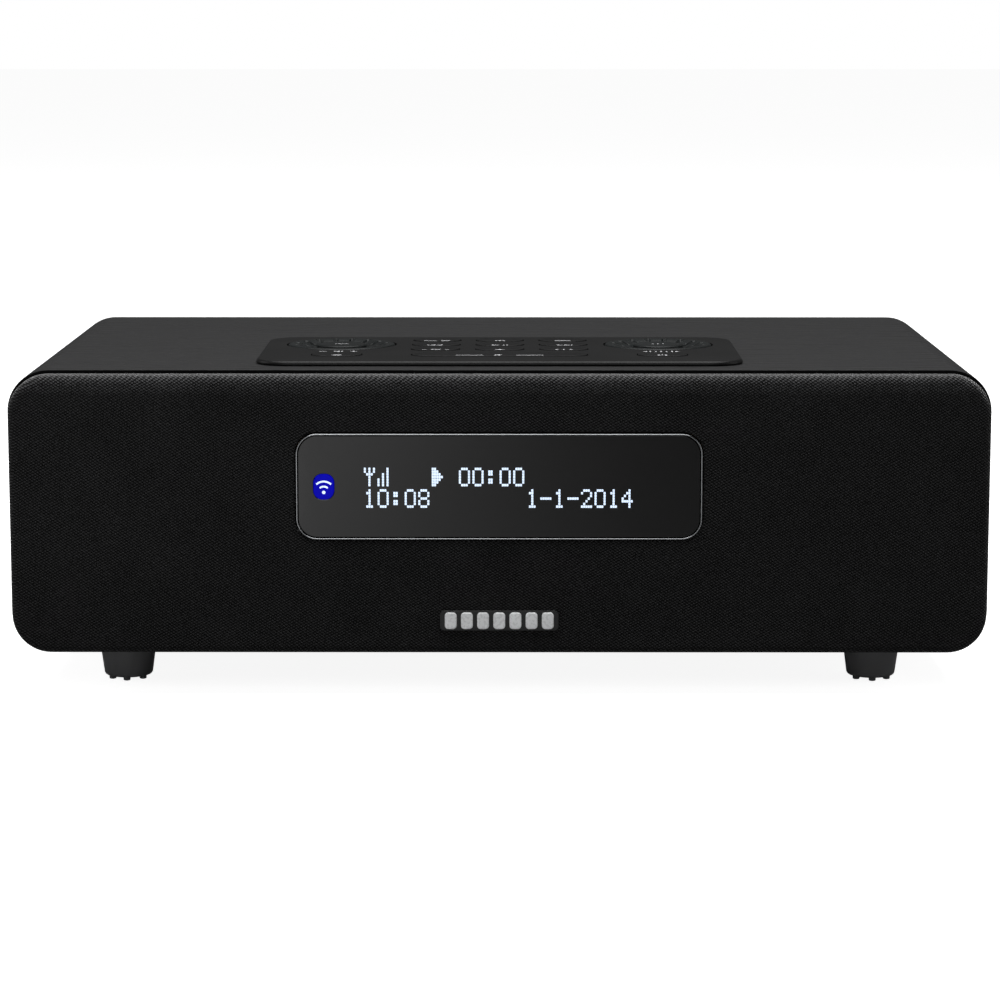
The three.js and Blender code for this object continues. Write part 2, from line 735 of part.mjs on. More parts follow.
add(radio, "main_board", mainBoard(), circuit);
add(radio, "left_speaker_lead", speakerLead(-1), jackPlastic);
add(radio, "right_speaker_lead", speakerLead(1), jackPlastic);
add(radio, "display_ribbon", displayRibbon(), ribbonPlastic);
add(radio, "control_ribbon", controlRibbon(), ribbonPlastic);

// ---------- Rear: panel, sockets, screws ----------

const PANEL_FACE = -REAR.recess; // the rear panel's outer face
const SOCKET_FACE = PANEL_FACE + 1.6;

function rearPanel() {
  const outline = roundedRect(INNER_WIDTH - 2 * GAP, INNER_HEIGHT - 2 * GAP, INNER_CORNER - GAP);
  const holes = [circle(6.4, 12, ANTENNA.x, ANTENNA.y)];
  holes.push(roundedRect(JACKS.plateWidth - 6, JACKS.plateHeight - 6, 3, { steps: 2, y: JACKS.y }));
  for (const x of [-REAR.screwX, REAR.screwX]) {
    for (const y of [-REAR.screwY, REAR.screwY]) holes.push(circle(1.8, 8, x, y));
  }
  return prism(outline, PANEL_FACE - REAR.panel, PANEL_FACE, holes);
}

// The sockets, left to right as seen from behind.
const SOCKETS = [
  { name: "headphone_socket", x: -JACKS.pitch, nose: 3.9, bore: 1.8, body: 9, length: 12 },
  { name: "line_in_socket", x: 0, nose: 3.9, bore: 1.8, body: 9, length: 12 },
  { name: "power_inlet", x: JACKS.pitch, nose: 4.8, bore: 3.2, body: 11, length: 11 },
];

function jackPlate() {
  const low = PANEL_FACE + GAP;
  const y = JACKS.y;
  const layers = roundedEdge(low, SOCKET_FACE, 0.4, 1);
  const flange = slab(JACKS.plateWidth, JACKS.plateHeight, 4, layers, { steps: 3, y });
  const plug = prism(
    roundedRect(JACKS.plateWidth - 6 - 2 * GAP, JACKS.plateHeight - 6 - 2 * GAP, 2.7, { steps: 2, y }),
    PANEL_FACE - REAR.panel,
    low + 0.5,
  );
  const holes = SOCKETS.map(({ x, nose }) => post(nose + 0.5, -10, 2, { sides: 12, x, y }));
  return cut(join(flange, plug), ...holes);
}

// A socket: a square body, a round nose through the plate, and a bore; the inlet has a centre pin.
function socket({ name, nose, bore, body, length }) {
  const bodyFront = PANEL_FACE - REAR.panel - GAP;
  const housing = join(
    box(body, body, length, 0, 0, bodyFront - length / 2),
    post(nose, bodyFront - 1, SOCKET_FACE),
  );
  const hollow = cut(housing, post(bore, bodyFront - length + 2, 2, { sides: 12 }));
  if (name !== "power_inlet") return hollow;
  return join(hollow, post(1, bodyFront - length + 1, PANEL_FACE - 1, { sides: 8 }));
}

// A cross-head screw in each corner of the rear panel.
function rearScrew() {
  const low = PANEL_FACE + GAP;
  const body = turned(
    [
      [0, low - 15],
      [1.4, low - 14],
      [1.4, low],
      [3.4, low],
      [3.2, low + 0.9],
      [1.8, low + 1.6],
      [0, low + 1.6],
    ],
    8,
  );
  return cut(body, box(3.4, 0.7, 1.6, 0, 0, low + 1.4), box(0.7, 3.4, 1.6, 0, 0, low + 1.4));
}

add(rear, "rear_panel", rearPanel(), rearPlastic);
add(rear, "jack_plate", jackPlate(), jackPlastic);
for (const item of SOCKETS) {
  const mesh = add(rear, item.name, socket(item), jackPlastic);
  mesh.position.set(item.x, JACKS.y, 0);
}
const SCREW_PLACES = [
  ["rear_screw_1", -REAR.screwX, REAR.screwY],
  ["rear_screw_2", REAR.screwX, REAR.screwY],
  ["rear_screw_3", REAR.screwX, -REAR.screwY],
  ["rear_screw_4", -REAR.screwX, -REAR.screwY],
];
for (const [name, x, y] of SCREW_PLACES) {
  add(rear, name, rearScrew(), steel).position.set(x, y, 0);
}

// ---------- Rear: telescopic antenna, stowed level along the rear panel ----------

const EAR_INNER = ANTENNA.tab + GAP; // half the space between the swivel's two ears
const EAR_OUTER = EAR_INNER + ANTENNA.earThickness;

function antennaBase() {
  const face = PANEL_FACE + GAP;
  const inside = PANEL_FACE - REAR.panel - 3;
  return turnedRing(
    [[3.4, inside], [6, inside], [6, face], [9, face], [9, face + 1], [8.2, face + 1.6], [3.4, face + 1.6]],
    16,
  );
}

// The outline of a rounded lug in x, z, drawn from its foot at z = low round the pivot.
function lugOutline(radius, low) {
  const points = [new THREE.Vector2(-radius, low), new THREE.Vector2(radius, low)];
  const steps = 8;
  for (let step = 0; step <= steps; step += 1) {
    const angle = (Math.PI * step) / steps;
    points.push(new THREE.Vector2(radius * Math.cos(angle), ANTENNA.axis + radius * Math.sin(angle)));
  }
  return points;
}

// A shape drawn in x, z and given thickness along y, from y = low to y = high.
function alongY(outline, low, high) {
  return prism(outline, -high, -low).rotateX(Math.PI / 2);
}

// The swivel: a shank in the base, a round head, and two ears that hold the pivot pin.
function antennaSwivel() {
  const headLow = PANEL_FACE + GAP + 1.6 + GAP;
  const head = turned(
    [
      [0, PANEL_FACE - REAR.panel - 4],
      [3, PANEL_FACE - REAR.panel - 4],
      [3, headLow],
      [7.5, headLow],
      [7.5, headLow + 1.6],
      [6.9, headLow + 2.2],
      [0, headLow + 2.2],
    ],
    16,
  );
  const ears = [-1, 1].map((side) => {
    const [low, high] = [EAR_INNER, EAR_OUTER].map((y) => side * y).sort((a, b) => a - b);
    return alongY(lugOutline(ANTENNA.ear, headLow + 1.5), low, high);
  });
  const pin = alongY(circle(1.2, 10, 0, ANTENNA.axis), -EAR_OUTER + 0.5, EAR_OUTER - 0.5);
  return join(head, ...ears, pin);
}

// A tube section along x, from its own start to its own open end.
function sectionTube({ radius, bore, from, to }) {
  const solid = [[0, from], [radius, from], [radius, to], [0, to]];
  const open = [[0, from], [radius, from], [radius, to], [bore, to], [bore, from + 3], [0, from + 3]];
  const sides = bore > 0 ? 12 : 8;
  return turned(bore > 0 ? open : solid, sides).rotateY(Math.PI / 2).translate(0, 0, ANTENNA.axis);
}

// The thickest section carries the eye that turns on the pivot pin, and a collar.
function firstSection(section) {
  const eye = join(
    alongY(circle(3.3, 16, 0, ANTENNA.axis), -ANTENNA.tab, ANTENNA.tab),
    box(5, 2 * ANTENNA.tab, 5, 2.5, 0, ANTENNA.axis),
  );
  const collar = post(3.4, section.from, section.from + 7).rotateY(Math.PI / 2);
  collar.translate(0, 0, ANTENNA.axis);
  const pinHole = alongY(circle(1.6, 12, 0, ANTENNA.axis), -5, 5);
  const bore = post(section.bore, section.from + 3, section.to + 1).rotateY(Math.PI / 2);
  bore.translate(0, 0, ANTENNA.axis);
  return cut(join(sectionTube(section), collar, eye), pinHole, bore);
}

function lastSection(section) {
  const { radius, length } = KNOB;
  const knob = turned(
    [
      [0, section.to - 0.5],
      [radius - 0.5, section.to - 0.5],
      [radius, section.to],
      [radius, section.to + length - 1.5],
      [radius - 1, section.to + length - 0.5],
      [0, section.to + length - 0.5],
    ],
    12,
  );
  knob.rotateY(Math.PI / 2).translate(0, 0, ANTENNA.axis);
  return join(sectionTube(section), knob);
}

const antenna = new THREE.Group();
antenna.position.set(ANTENNA.x, ANTENNA.y, 0);
rear.add(antenna);
add(antenna, "antenna_base", antennaBase(), jackPlastic);
add(antenna, "antenna_swivel", antennaSwivel(), steel);
SECTIONS.forEach((section, place) => {
  let shape = sectionTube(section);
  if (place === 0) shape = firstSection(section);
  if (place === SECTIONS.length - 1) shape = lastSection(section);
  add(antenna, `antenna_section_${place + 1}`, shape, chrome);
});

export default radio;
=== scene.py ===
"""The looks of the tabletop radio: metres, in the CAD model's frame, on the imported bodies."""

import math

import bmesh
import bpy
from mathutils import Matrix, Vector

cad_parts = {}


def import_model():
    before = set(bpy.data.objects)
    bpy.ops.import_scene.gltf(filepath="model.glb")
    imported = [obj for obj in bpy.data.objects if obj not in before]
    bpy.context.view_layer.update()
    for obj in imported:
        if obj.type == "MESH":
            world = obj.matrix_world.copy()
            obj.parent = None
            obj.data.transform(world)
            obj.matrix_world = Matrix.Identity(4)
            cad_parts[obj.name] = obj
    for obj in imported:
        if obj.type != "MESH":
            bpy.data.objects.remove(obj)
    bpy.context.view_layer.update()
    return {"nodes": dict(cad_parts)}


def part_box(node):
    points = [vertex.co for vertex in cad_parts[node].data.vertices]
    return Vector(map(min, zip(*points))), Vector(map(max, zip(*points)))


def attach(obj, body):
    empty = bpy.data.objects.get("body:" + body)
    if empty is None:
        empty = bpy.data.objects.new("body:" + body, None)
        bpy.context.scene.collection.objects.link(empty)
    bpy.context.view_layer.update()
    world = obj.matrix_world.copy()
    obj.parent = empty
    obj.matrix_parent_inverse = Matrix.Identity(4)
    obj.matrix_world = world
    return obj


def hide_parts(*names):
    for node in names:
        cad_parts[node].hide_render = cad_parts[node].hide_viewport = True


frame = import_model()

MM = 0.001
ROOT = "cabinet"

# ---------- Places taken from the CAD nodes, in millimetres ----------


def span(node):
    low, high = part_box(node)
    return low / MM, high / MM


def middle(node):
    low, high = span(node)
    return (low + high) / 2


SHELL_LOW, SHELL_HIGH = span("cabinet_shell")
FRONT_Y = SHELL_LOW.y
BACK_Y = SHELL_HIGH.y
TOP_Z = SHELL_HIGH.z
MIDDLE_Z = (SHELL_LOW.z + SHELL_HIGH.z) / 2
WIDTH = SHELL_HIGH.x - SHELL_LOW.x
HEIGHT = SHELL_HIGH.z - SHELL_LOW.z
DEPTH = BACK_Y - FRONT_Y


def at_front(x, y, z):
    """x right, y up from the cabinet's middle, z towards the listener from its front edge."""
    return x, FRONT_Y - z, MIDDLE_Z + y


def at_top(x, y, z):
    """x right, y back from the cabinet's front edge, z up from its top."""
    return x, FRONT_Y + y, TOP_Z + z


def at_rear(x, y, z):
    """Seen from behind: x right, y up from the cabinet's middle, z back from its rear edge."""
    return -x, BACK_Y + z, MIDDLE_Z + y


def in_world(x, y, z):
    return x, y, z


# ---------- Materials ----------


class Finish:
    """A procedural material: one Principled shader and the nodes that feed it."""

    def __init__(self, name, **constants):
        self.material = bpy.data.materials.new(name)
        self.material.use_nodes = True
        self.nodes = self.material.node_tree.nodes
        self.links = self.material.node_tree.links
        self.shader = self.nodes["Principled BSDF"]
        for key, value in constants.items():
            self.shader.inputs[key.replace("_", " ")].default_value = value
        self.place = self.nodes.new("ShaderNodeTexCoord").outputs["Object"]

    def node(self, kind, **inputs):
        made = self.nodes.new(kind)
        for key, value in inputs.items():
            socket = made.inputs[int(key[1:])] if key[1:].isdigit() else made.inputs[key]
            if isinstance(value, bpy.types.NodeSocket):
                self.links.new(value, socket)
            else:
                socket.default_value = value
        return made

    def stretched(self, x, y, z):
        return self.node("ShaderNodeMapping", Vector=self.place, Scale=(x, y, z)).outputs[0]

    def noise(self, scale, detail=3.0, where=None):
        made = self.node("ShaderNodeTexNoise", Scale=scale, Detail=detail, Vector=where or self.place)
        return made.outputs["Fac"]

    def spread(self, value, low, high, start=0.3, end=0.7):
        made = self.node("ShaderNodeMapRange", Value=value)
        for key, number in zip(("From Min", "From Max", "To Min", "To Max"), (start, end, low, high)):
            made.inputs[key].default_value = number
        return made.outputs["Result"]

    def blend(self, factor, first, second):
        made = self.nodes.new("ShaderNodeMix")
        made.data_type = "RGBA"
        self.links.new(factor, made.inputs[0])
        for place, colour in ((6, first), (7, second)):
            if isinstance(colour, bpy.types.NodeSocket):
                self.links.new(colour, made.inputs[place])
            else:
                made.inputs[place].default_value = (*colour, 1)
        return made.outputs[2]

    def math(self, operation, first, second=0.0):
        made = self.nodes.new("ShaderNodeMath")
        made.operation = operation
        for place, value in enumerate((first, second)):
            if isinstance(value, bpy.types.NodeSocket):
                self.links.new(value, made.inputs[place])
            else:
                made.inputs[place].default_value = value
        return made.outputs[0]

    def ripple(self, x, y, z):
        """A sine wave with x, y, z cycles per millimetre, from -1 to 1."""
        turns = 2 * math.pi / MM
        made = self.nodes.new("ShaderNodeVectorMath")
        made.operation = "DOT_PRODUCT"
        self.links.new(self.place, made.inputs[0])
        made.inputs[1].default_value = (x * turns, y * turns, z * turns)
        return self.math("SINE", made.outputs["Value"])

    def feed(self, name, value):
        self.links.new(value, self.shader.inputs[name])

    def bump(self, height, distance):
        made = self.node("ShaderNodeBump", Height=height, Distance=distance * MM, Strength=1.0)
        self.feed("Normal", made.outputs[0])


def moulded(name, dark, light, rough, grain=2600, depth=0.02, **constants):
    """A moulded or cast surface: fine grain, and a slow change of tone and gloss."""
    finish = Finish(name, **constants)
    slow = finish.noise(38, 4)
    fine = finish.noise(grain, 2)
    finish.feed("Base Color", finish.blend(finish.spread(slow, 0, 1), dark, light))
    finish.feed("Roughness", finish.spread(fine, rough[0], rough[1]))
    finish.bump(fine, depth)
    return finish.material


def grey(value):
    return value, value, value * 1.03


def veneer_finish():
    """Black-stained veneer, whose grain runs across the top and down both sides."""
    finish = Finish("veneer")
    grain = finish.noise(1.0, 5, finish.stretched(28, 620, 28))
    pores = finish.noise(1.0, 2, finish.stretched(110, 2600, 110))
    figure = finish.noise(1.0, 3, finish.stretched(7, 60, 7))
    open_pores = finish.spread(pores, 1, 0, 0.30, 0.42)
    body = finish.blend(finish.spread(grain, 0, 1), grey(0.007), grey(0.028))
    body = finish.blend(finish.spread(figure, 0, 0.5), body, grey(0.017))
    finish.feed("Base Color", finish.blend(open_pores, body, grey(0.006)))
    tone = finish.math("ADD", finish.spread(grain, 0.34, 0.60), finish.math("MULTIPLY", open_pores, 0.25))
    finish.feed("Roughness", tone)
    finish.feed("Specular IOR Level", finish.spread(grain, 0.60, 0.10))
    relief = finish.math("SUBTRACT", finish.math("MULTIPLY", grain, 0.5), open_pores)
    finish.bump(relief, 0.05)
    return finish.material


def cloth_finish():
    """Close black grille cloth: two sets of diagonal ribs, broken up by its own threads."""
    finish = Finish("grille_cloth", Sheen_Roughness=0.3, Specular_IOR_Level=0.15)
    # Sheen weight rises towards the top edge, and the yarn colour is painted lighter along the top edge as
    # a painted highlight.
    up = finish.node("ShaderNodeSeparateXYZ", Vector=finish.place).outputs["Z"]
    finish.feed("Sheen Weight", finish.spread(up, 0.1, 1.0, (TOP_Z - 12) * MM, (TOP_Z - 3) * MM))
    falling = finish.ripple(0.487, 0.45, -0.993)
    rising = finish.ripple(0.664, 0.45, 0.861)
    thread = finish.noise(1.0, 2, finish.stretched(2300, 2300, 1500))
    cloud = finish.noise(60, 3)
    ribs = finish.math("MULTIPLY", finish.math("ADD", falling, rising), 0.25)
    height = finish.math("ADD", ribs, finish.math("MULTIPLY", thread, 0.9))
    tone = finish.math("ADD", height, finish.math("MULTIPLY", cloud, 0.25))
    raised = finish.spread(tone, 0, 1, 0.46, 0.92)
    # Painted highlight: the yarn colour is lighter over the top few millimetres of the cloth.
    top_highlight_mask = finish.spread(up, 0, 1, (TOP_Z - 8) * MM, (TOP_Z - 3.5) * MM)
    yarn_and_painted_highlight = finish.blend(top_highlight_mask, grey(0.029), grey(0.085))
    finish.feed("Base Color", finish.blend(raised, grey(0.0003), yarn_and_painted_highlight))
    finish.feed("Roughness", finish.spread(thread, 0.75, 0.95))
    finish.bump(height, 0.4)
    return finish.material


def metal(name, colour, rough, brushed=(900, 900, 900), metallic=1.0):
    finish = Finish(name, Metallic=metallic)
    fine = finish.noise(1.0, 2, finish.stretched(*brushed))
    slow = finish.noise(90, 3)
    darker = tuple(0.86 * part for part in colour)
    finish.feed("Base Color", finish.blend(finish.spread(slow, 0, 1), darker, colour))
    finish.feed("Roughness", finish.spread(fine, rough[0], rough[1]))
    finish.bump(fine, 0.004)
    return finish.material


def glowing(name, colour, strength):
    finish = Finish(name, Roughness=0.4, Specular_IOR_Level=0.1)
    slow = finish.noise(400, 2)
    dim = tuple(0.85 * part for part in colour)
    tone = finish.blend(finish.spread(slow, 0, 1), dim, colour)
    finish.feed("Base Color", tone)
    finish.feed("Emission Color", tone)
    finish.shader.inputs["Emission Strength"].default_value = strength
    return finish.material


VENEER = veneer_finish()
CLOTH = cloth_finish()
GLASS = moulded("window", grey(0.0030), grey(0.0042), (0.15, 0.18), 500, 0.0006, Specular_IOR_Level=0.5)
PANEL_PLASTIC = moulded(
    "panel_plastic", grey(0.004), grey(0.007), (0.34, 0.44), 2400, 0.012, Specular_IOR_Level=0.20
)
KEY_PLASTIC = moulded(
    "key_plastic", grey(0.006), grey(0.009), (0.40, 0.50), 2400, 0.010, Specular_IOR_Level=0.14
)
DIAL_DARK, DIAL_LIGHT = (0.006, 0.0075, 0.0075), (0.009, 0.011, 0.0115)
DIAL_PLASTIC = moulded(
    "dial_plastic", DIAL_DARK, DIAL_LIGHT, (0.36, 0.46), 2400, 0.010, Specular_IOR_Level=0.22
)
RUBBER = moulded("rubber", grey(0.160), grey(0.190), (0.42, 0.55), 1800, 0.02)
REAR_PLASTIC = moulded("rear_plastic", grey(0.026), grey(0.034), (0.42, 0.6), 1500, 0.05)
JACK_PLASTIC = moulded("jack_plastic", grey(0.006), grey(0.009), (0.3, 0.42), 2200, 0.012)
SILVER = metal("silver", (0.95, 0.96, 0.97), (0.24, 0.32), metallic=0.1)
# Near black: painted shade on the cabinet's front cut edge, in the gap behind the grille.
FRONT_EDGE_SHADE = moulded(
    "front_edge_painted_shade", grey(0.0015), grey(0.0025), (0.8, 0.95), 900, 0.03, Specular_IOR_Level=0.1
)
PAINTED_EDGE = moulded(
    "painted_edge", grey(0.020), grey(0.026), (0.5, 0.65), 700, 0.04, Specular_IOR_Level=0.35
)
ANTENNA_STEEL = metal("antenna_steel", (0.78, 0.79, 0.80), (0.10, 0.22), (60, 1800, 1800))
STEEL = metal("steel", (0.42, 0.43, 0.44), (0.3, 0.45))
BLUE = glowing("indicator_blue", (0.0, 0.0, 0.42), 0.5)
BRIGHT_RIM = metal("bright_rim", (0.36, 0.37, 0.38), (0.16, 0.26))
LIT = glowing("lit_dots", (0.66, 0.78, 0.95), 1.0)
PRINT = moulded("print", grey(0.66), grey(0.74), (0.5, 0.6), 3000, 0.002)
INNER = {
    "front_baffle": moulded("fibreboard", (0.16, 0.10, 0.055), (0.23, 0.15, 0.085), (0.8, 0.95), 900, 0.08),
    "grille_frame": moulded("frame_plastic", grey(0.006), grey(0.009), (0.6, 0.8)),
    "circuit": moulded("circuit", (0.006, 0.045, 0.018), (0.010, 0.075, 0.028), (0.3, 0.5), 900, 0.03),
    "cone": moulded("cone_paper", grey(0.010), grey(0.018), (0.8, 0.95), 1400, 0.08),
    "cable": moulded("flat_cable", (0.36, 0.37, 0.39), (0.48, 0.49, 0.51), (0.45, 0.6), 900, 0.02),
}

# ---------- Mesh building ----------


def rounded_rect(width, height, radius, steps=10, x=0.0, y=0.0):
    points = []
    for quarter, (right, up) in enumerate(((1, 1), (-1, 1), (-1, -1), (1, -1))):
        for step in range(steps + 1):
            angle = (quarter + step / steps) * math.pi / 2
            across = right * (width / 2 - radius) + radius * math.cos(angle)
            along = up * (height / 2 - radius) + radius * math.sin(angle)
            points.append((x + across, y + along))
    return points


def circle(radius, sides=48, x=0.0, y=0.0):
    turns = [2 * math.pi * side / sides for side in range(sides)]
    return [(x + radius * math.cos(turn), y + radius * math.sin(turn)) for turn in turns]


def arc(radius, start, end, x=0.0, y=0.0):
    steps = max(4, int(abs(end - start) / 12))
    turns = [math.radians(start + (end - start) * step / steps) for step in range(steps + 1)]
    return [(x + radius * math.cos(turn), y + radius * math.sin(turn)) for turn in turns]


def rounding(low, high, radius, steps=5):
    """Layers (z, inset) from z = low up to a rounded edge at z = high."""
    layers = [(low, 0.0)]
    for step in range(steps + 1):
        angle = step / steps * math.pi / 2
        layers.append((high - radius * (1 - math.sin(angle)), radius * (1 - math.cos(angle))))
    return layers


class Shape:
    """Points and faces in millimetres, gathered into one mesh."""

    def __init__(self):
        self.points = []
        self.faces = []

    def skin(self, rings, closed=False, capped=True):
        """Faces between rings that have the same number of points."""
        first = len(self.points)
        count = len(rings[0])
        for ring in rings:
            self.points.extend(ring)
        for level in range(len(rings) if closed else len(rings) - 1):
            low = first + level * count
            high = first + (level + 1) % len(rings) * count
            for side in range(count):
                after = (side + 1) % count
                self.faces.append((low + side, low + after, high + after, high + side))
        if capped and not closed:
            last = first + (len(rings) - 1) * count
            self.faces.append(tuple(range(first + count - 1, first - 1, -1)))
            self.faces.append(tuple(range(last, last + count)))
        return self

    def slab(self, width, height, radius, layers, steps=10, x=0.0, y=0.0):
        """A stack of rounded rectangles, one for each (z, inset) layer."""
        rings = []
        for z, inset in layers:
            outline = rounded_rect(width - 2 * inset, height - 2 * inset, radius - inset, steps, x, y)
            rings.append([(px, py, z) for px, py in outline])
        return self.skin(rings)

    def prism(self, outline, low, high):
        """An outline raised from z = low to z = high."""
        return self.skin([[(x, y, z) for x, y in outline] for z in (low, high)])

    def lathe(self, profile, sides=72, x=0.0, y=0.0, closed=False, carve=None):
        """Turned about Z from (radius, z) pairs; carve(radius, z, turn) lowers a point."""
        rings = []
        for radius, z in profile:
            ring = []
            for side in range(sides):
                turn = 2 * math.pi * side / sides
                drop = carve(radius, z, turn) if carve else 0.0
                ring.append((x + radius * math.cos(turn), y + radius * math.sin(turn), z - drop))
            rings.append(ring)
        return self.skin(rings, closed=closed)

    def ring(self, outer, inner, low, high):
        """A flat frame between two outlines that have the same number of points."""
        rings = [(outer, low), (outer, high), (inner, high), (inner, low)]
        return self.skin([[(x, y, z) for x, y in outline] for outline, z in rings], closed=True)

    def stroke(self, points, width, low, high):
        """A band of constant width along a line of points, or a loop where it ends at its start."""
        looped = math.dist(points[0], points[-1]) < 1e-6
        line = [Vector(point) for point in (points[:-1] if looped else points)]
        last = len(line) - 1
        sides = ([], [])
        for place, point in enumerate(line):
            before = line[place - 1] if looped or place else point * 2 - line[1]
            after = line[(place + 1) % len(line)] if looped or place < last else point * 2 - line[-2]
            back, ahead = (point - before).normalized(), (after - point).normalized()
            across = Vector((-back.y - ahead.y, back.x + ahead.x)).normalized()
            reach = width / 2 / max(0.5, across.dot(Vector((-ahead.y, ahead.x))))
            sides[0].append(tuple(point + across * reach))
            sides[1].append(tuple(point - across * reach))
        if looped:
            return self.ring(sides[0], sides[1], low, high)
        return self.prism(sides[0] + sides[1][::-1], low, high)

    def build(self, name, place=in_world, smooth=35):
        """An object whose mesh is in place, with smooth faces and sharp edges above an angle."""
        mesh = bpy.data.meshes.new(name)
        points = [tuple(MM * part for part in place(*point)) for point in self.points]
        mesh.from_pydata(points, [], self.faces)
        tidy = bmesh.new()
        tidy.from_mesh(mesh)
        bmesh.ops.remove_doubles(tidy, verts=tidy.verts, dist=1e-7)
        bmesh.ops.dissolve_degenerate(tidy, edges=tidy.edges, dist=1e-8)
        bmesh.ops.recalc_face_normals(tidy, faces=tidy.faces)
        tidy.to_mesh(mesh)
        tidy.free()
        piece = bpy.data.objects.new(name, mesh)
        bpy.context.scene.collection.objects.link(piece)
        shade(piece, smooth)
        return piece


def shade(piece, smooth=35):
    piece.data.shade_smooth()
    piece.data.set_sharp_from_angle(angle=math.radians(smooth))


def applied(piece):
    """Turns a piece's modifiers into its mesh."""
    graph = bpy.context.evaluated_depsgraph_get()
    mesh = bpy.data.meshes.new_from_object(piece.evaluated_get(graph))
    piece.modifiers.clear()
    piece.data = mesh
    return piece


def cut_out(piece, cutters, place=in_world, bevel=0.0):
    """Removes the cutters, a Shape, from a piece, then breaks its sharp edges."""
    tool = cutters.build("tool", place)
    modifier = piece.modifiers.new("cut", "BOOLEAN")
    modifier.operation = "DIFFERENCE"
    modifier.solver = "EXACT"
    modifier.use_self = True
    modifier.object = tool
    applied(piece)
    bpy.data.objects.remove(tool)
    if bevel:
        soften(piece, bevel)
    shade(piece)
    return piece


def soften(piece, width):
    """Rounds a piece's sharp edges."""
    modifier = piece.modifiers.new("edges", "BEVEL")
    modifier.width = width * MM
    modifier.segments = 2
    modifier.limit_method = "ANGLE"
    modifier.angle_limit = math.radians(50)
    return applied(piece)


def merge(piece, *parts):
    """Adds the parts to a piece's mesh as separate shells, and removes them."""
    together = bmesh.new()
    for part in (piece, *parts):
        together.from_mesh(part.data)
    together.to_mesh(piece.data)
    together.free()
    for part in parts:
        bpy.data.objects.remove(part)


def dress(piece, material, body=ROOT, nodes=()):
    """Gives a finished piece its look and its body, and hides what it stands for."""
    # Normals weighted by area keep the large faces flat right up to their rounded edges.
    weighted = piece.modifiers.new("normals", "WEIGHTED_NORMAL")
    weighted.keep_sharp = True
    applied(piece)
    piece.data.materials.clear()
    piece.data.materials.append(material)
    for face in piece.data.polygons:
        face.material_index = 0
    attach(piece, body)
    if nodes:
        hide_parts(*nodes)
    return piece


# ---------- Cabinet and feet ----------

WALL = 10
CORNER = 15
# The panel's skirt drops into an opening in the top, with a gap all round.
SKIRT_W, SKIRT_D, SKIRT_CORNER = 168, 80, 8
SKIRT_GAP = 0.3
PANEL_MIDDLE = 54.5
NUBS = 6
NUB_CIRCLE = 6.4


def cabinet():
    outer = [(0, 0.5), (0.15, 0.15), (0.5, 0), (DEPTH - 0.5, 0), (DEPTH - 0.15, 0.15), (DEPTH, 0.5)]
    rings = []
    for along, inset in outer:
        outline = rounded_rect(WIDTH - 2 * inset, HEIGHT - 2 * inset, CORNER - inset, 16)
        rings.append([(x, FRONT_Y + along, MIDDLE_Z + z) for x, z in outline])
    inner = rounded_rect(WIDTH - 2 * WALL, HEIGHT - 2 * WALL, CORNER - WALL, 16)
    for along in (DEPTH, 0):
        rings.append([(x, FRONT_Y + along, MIDDLE_Z + z) for x, z in inner])
    shell = Shape().skin(rings, closed=True).build("cabinet_wrap")
    width, depth, corner = SKIRT_W + 2 * SKIRT_GAP, SKIRT_D + 2 * SKIRT_GAP, SKIRT_CORNER + SKIRT_GAP
    opening = Shape().prism(rounded_rect(width, depth, corner, 8, 0, PANEL_MIDDLE), -2 * WALL, 5)
    cut_out(shell, opening, at_top)
    dress(shell, VENEER, nodes=["cabinet_shell"])
    # The rear cut edge of the board is painted; the front cut edge is near black, as painted shade in the
    # gap behind the grille.
    shell.data.materials.append(FRONT_EDGE_SHADE)
    shell.data.materials.append(PAINTED_EDGE)
    for face in shell.data.polygons:
        # Painted shade: the front end face is near black.
        if face.normal.y < -0.6 and face.center.y < (FRONT_Y + 0.4) * MM:
            face.material_index = 1
        if face.normal.y > 0.6 and face.center.y > (BACK_Y - 0.4) * MM:
            face.material_index = 2


def foot(node):
    place = middle(node)
    body_top = SHELL_LOW.z - 0.3
    profile = [(0, 1.2), (7.0, 1.2), (7.6, 1.25), (8.2, 1.45), (8.6, 1.8), (8.85, 2.3), (8.95, 3.0)]
    profile += [(10.4, body_top - 0.9), (10.5, body_top - 0.4), (10.3, body_top - 0.1), (10.0, body_top)]
    profile += [(2.7, body_top), (2.7, 22), (0, 22)]
    shape = Shape().lathe(profile, 96, place.x, place.y)
    for nub in range(NUBS):
        turn = 2 * math.pi / NUBS * nub - math.pi / 2
        x, y = place.x + NUB_CIRCLE * math.cos(turn), place.y + NUB_CIRCLE * math.sin(turn)
        shape.lathe([(0, 0), (0.8, 0), (1.15, 0.12), (1.3, 0.4), (1.3, 1.5), (0, 1.5)], 24, x, y)
    dress(shape.build(node + "_fine"), RUBBER, nodes=[node])


cabinet()
for foot_name in ("foot_front_left", "foot_front_right", "foot_rear_left", "foot_rear_right"):
    foot(foot_name)

# ---------- Front: cloth, display, badge ----------

BEZEL_LOW, BEZEL_HIGH = span("display_bezel")
DISPLAY_W = BEZEL_HIGH.x - BEZEL_LOW.x
DISPLAY_H = BEZEL_HIGH.z - BEZEL_LOW.z
DISPLAY_Y = (BEZEL_LOW.z + BEZEL_HIGH.z) / 2 - MIDDLE_Z
DISPLAY_CORNER = 7.5
CLOTH_FACE = 9.0
CLOTH_CORNER = 13.8
RIM = 0.6
GLASS_FACE = 9.3
GLASS_BACK = 7.3
INDICATOR_W, INDICATOR_H, INDICATOR_CORNER = 7.3, 9.1, 3.2
INDICATOR_X = middle("indicator_lens").x


def display_outline(offset):
    corner = DISPLAY_CORNER + offset
    return rounded_rect(DISPLAY_W + 2 * offset, DISPLAY_H + 2 * offset, corner, 16, 0, DISPLAY_Y)


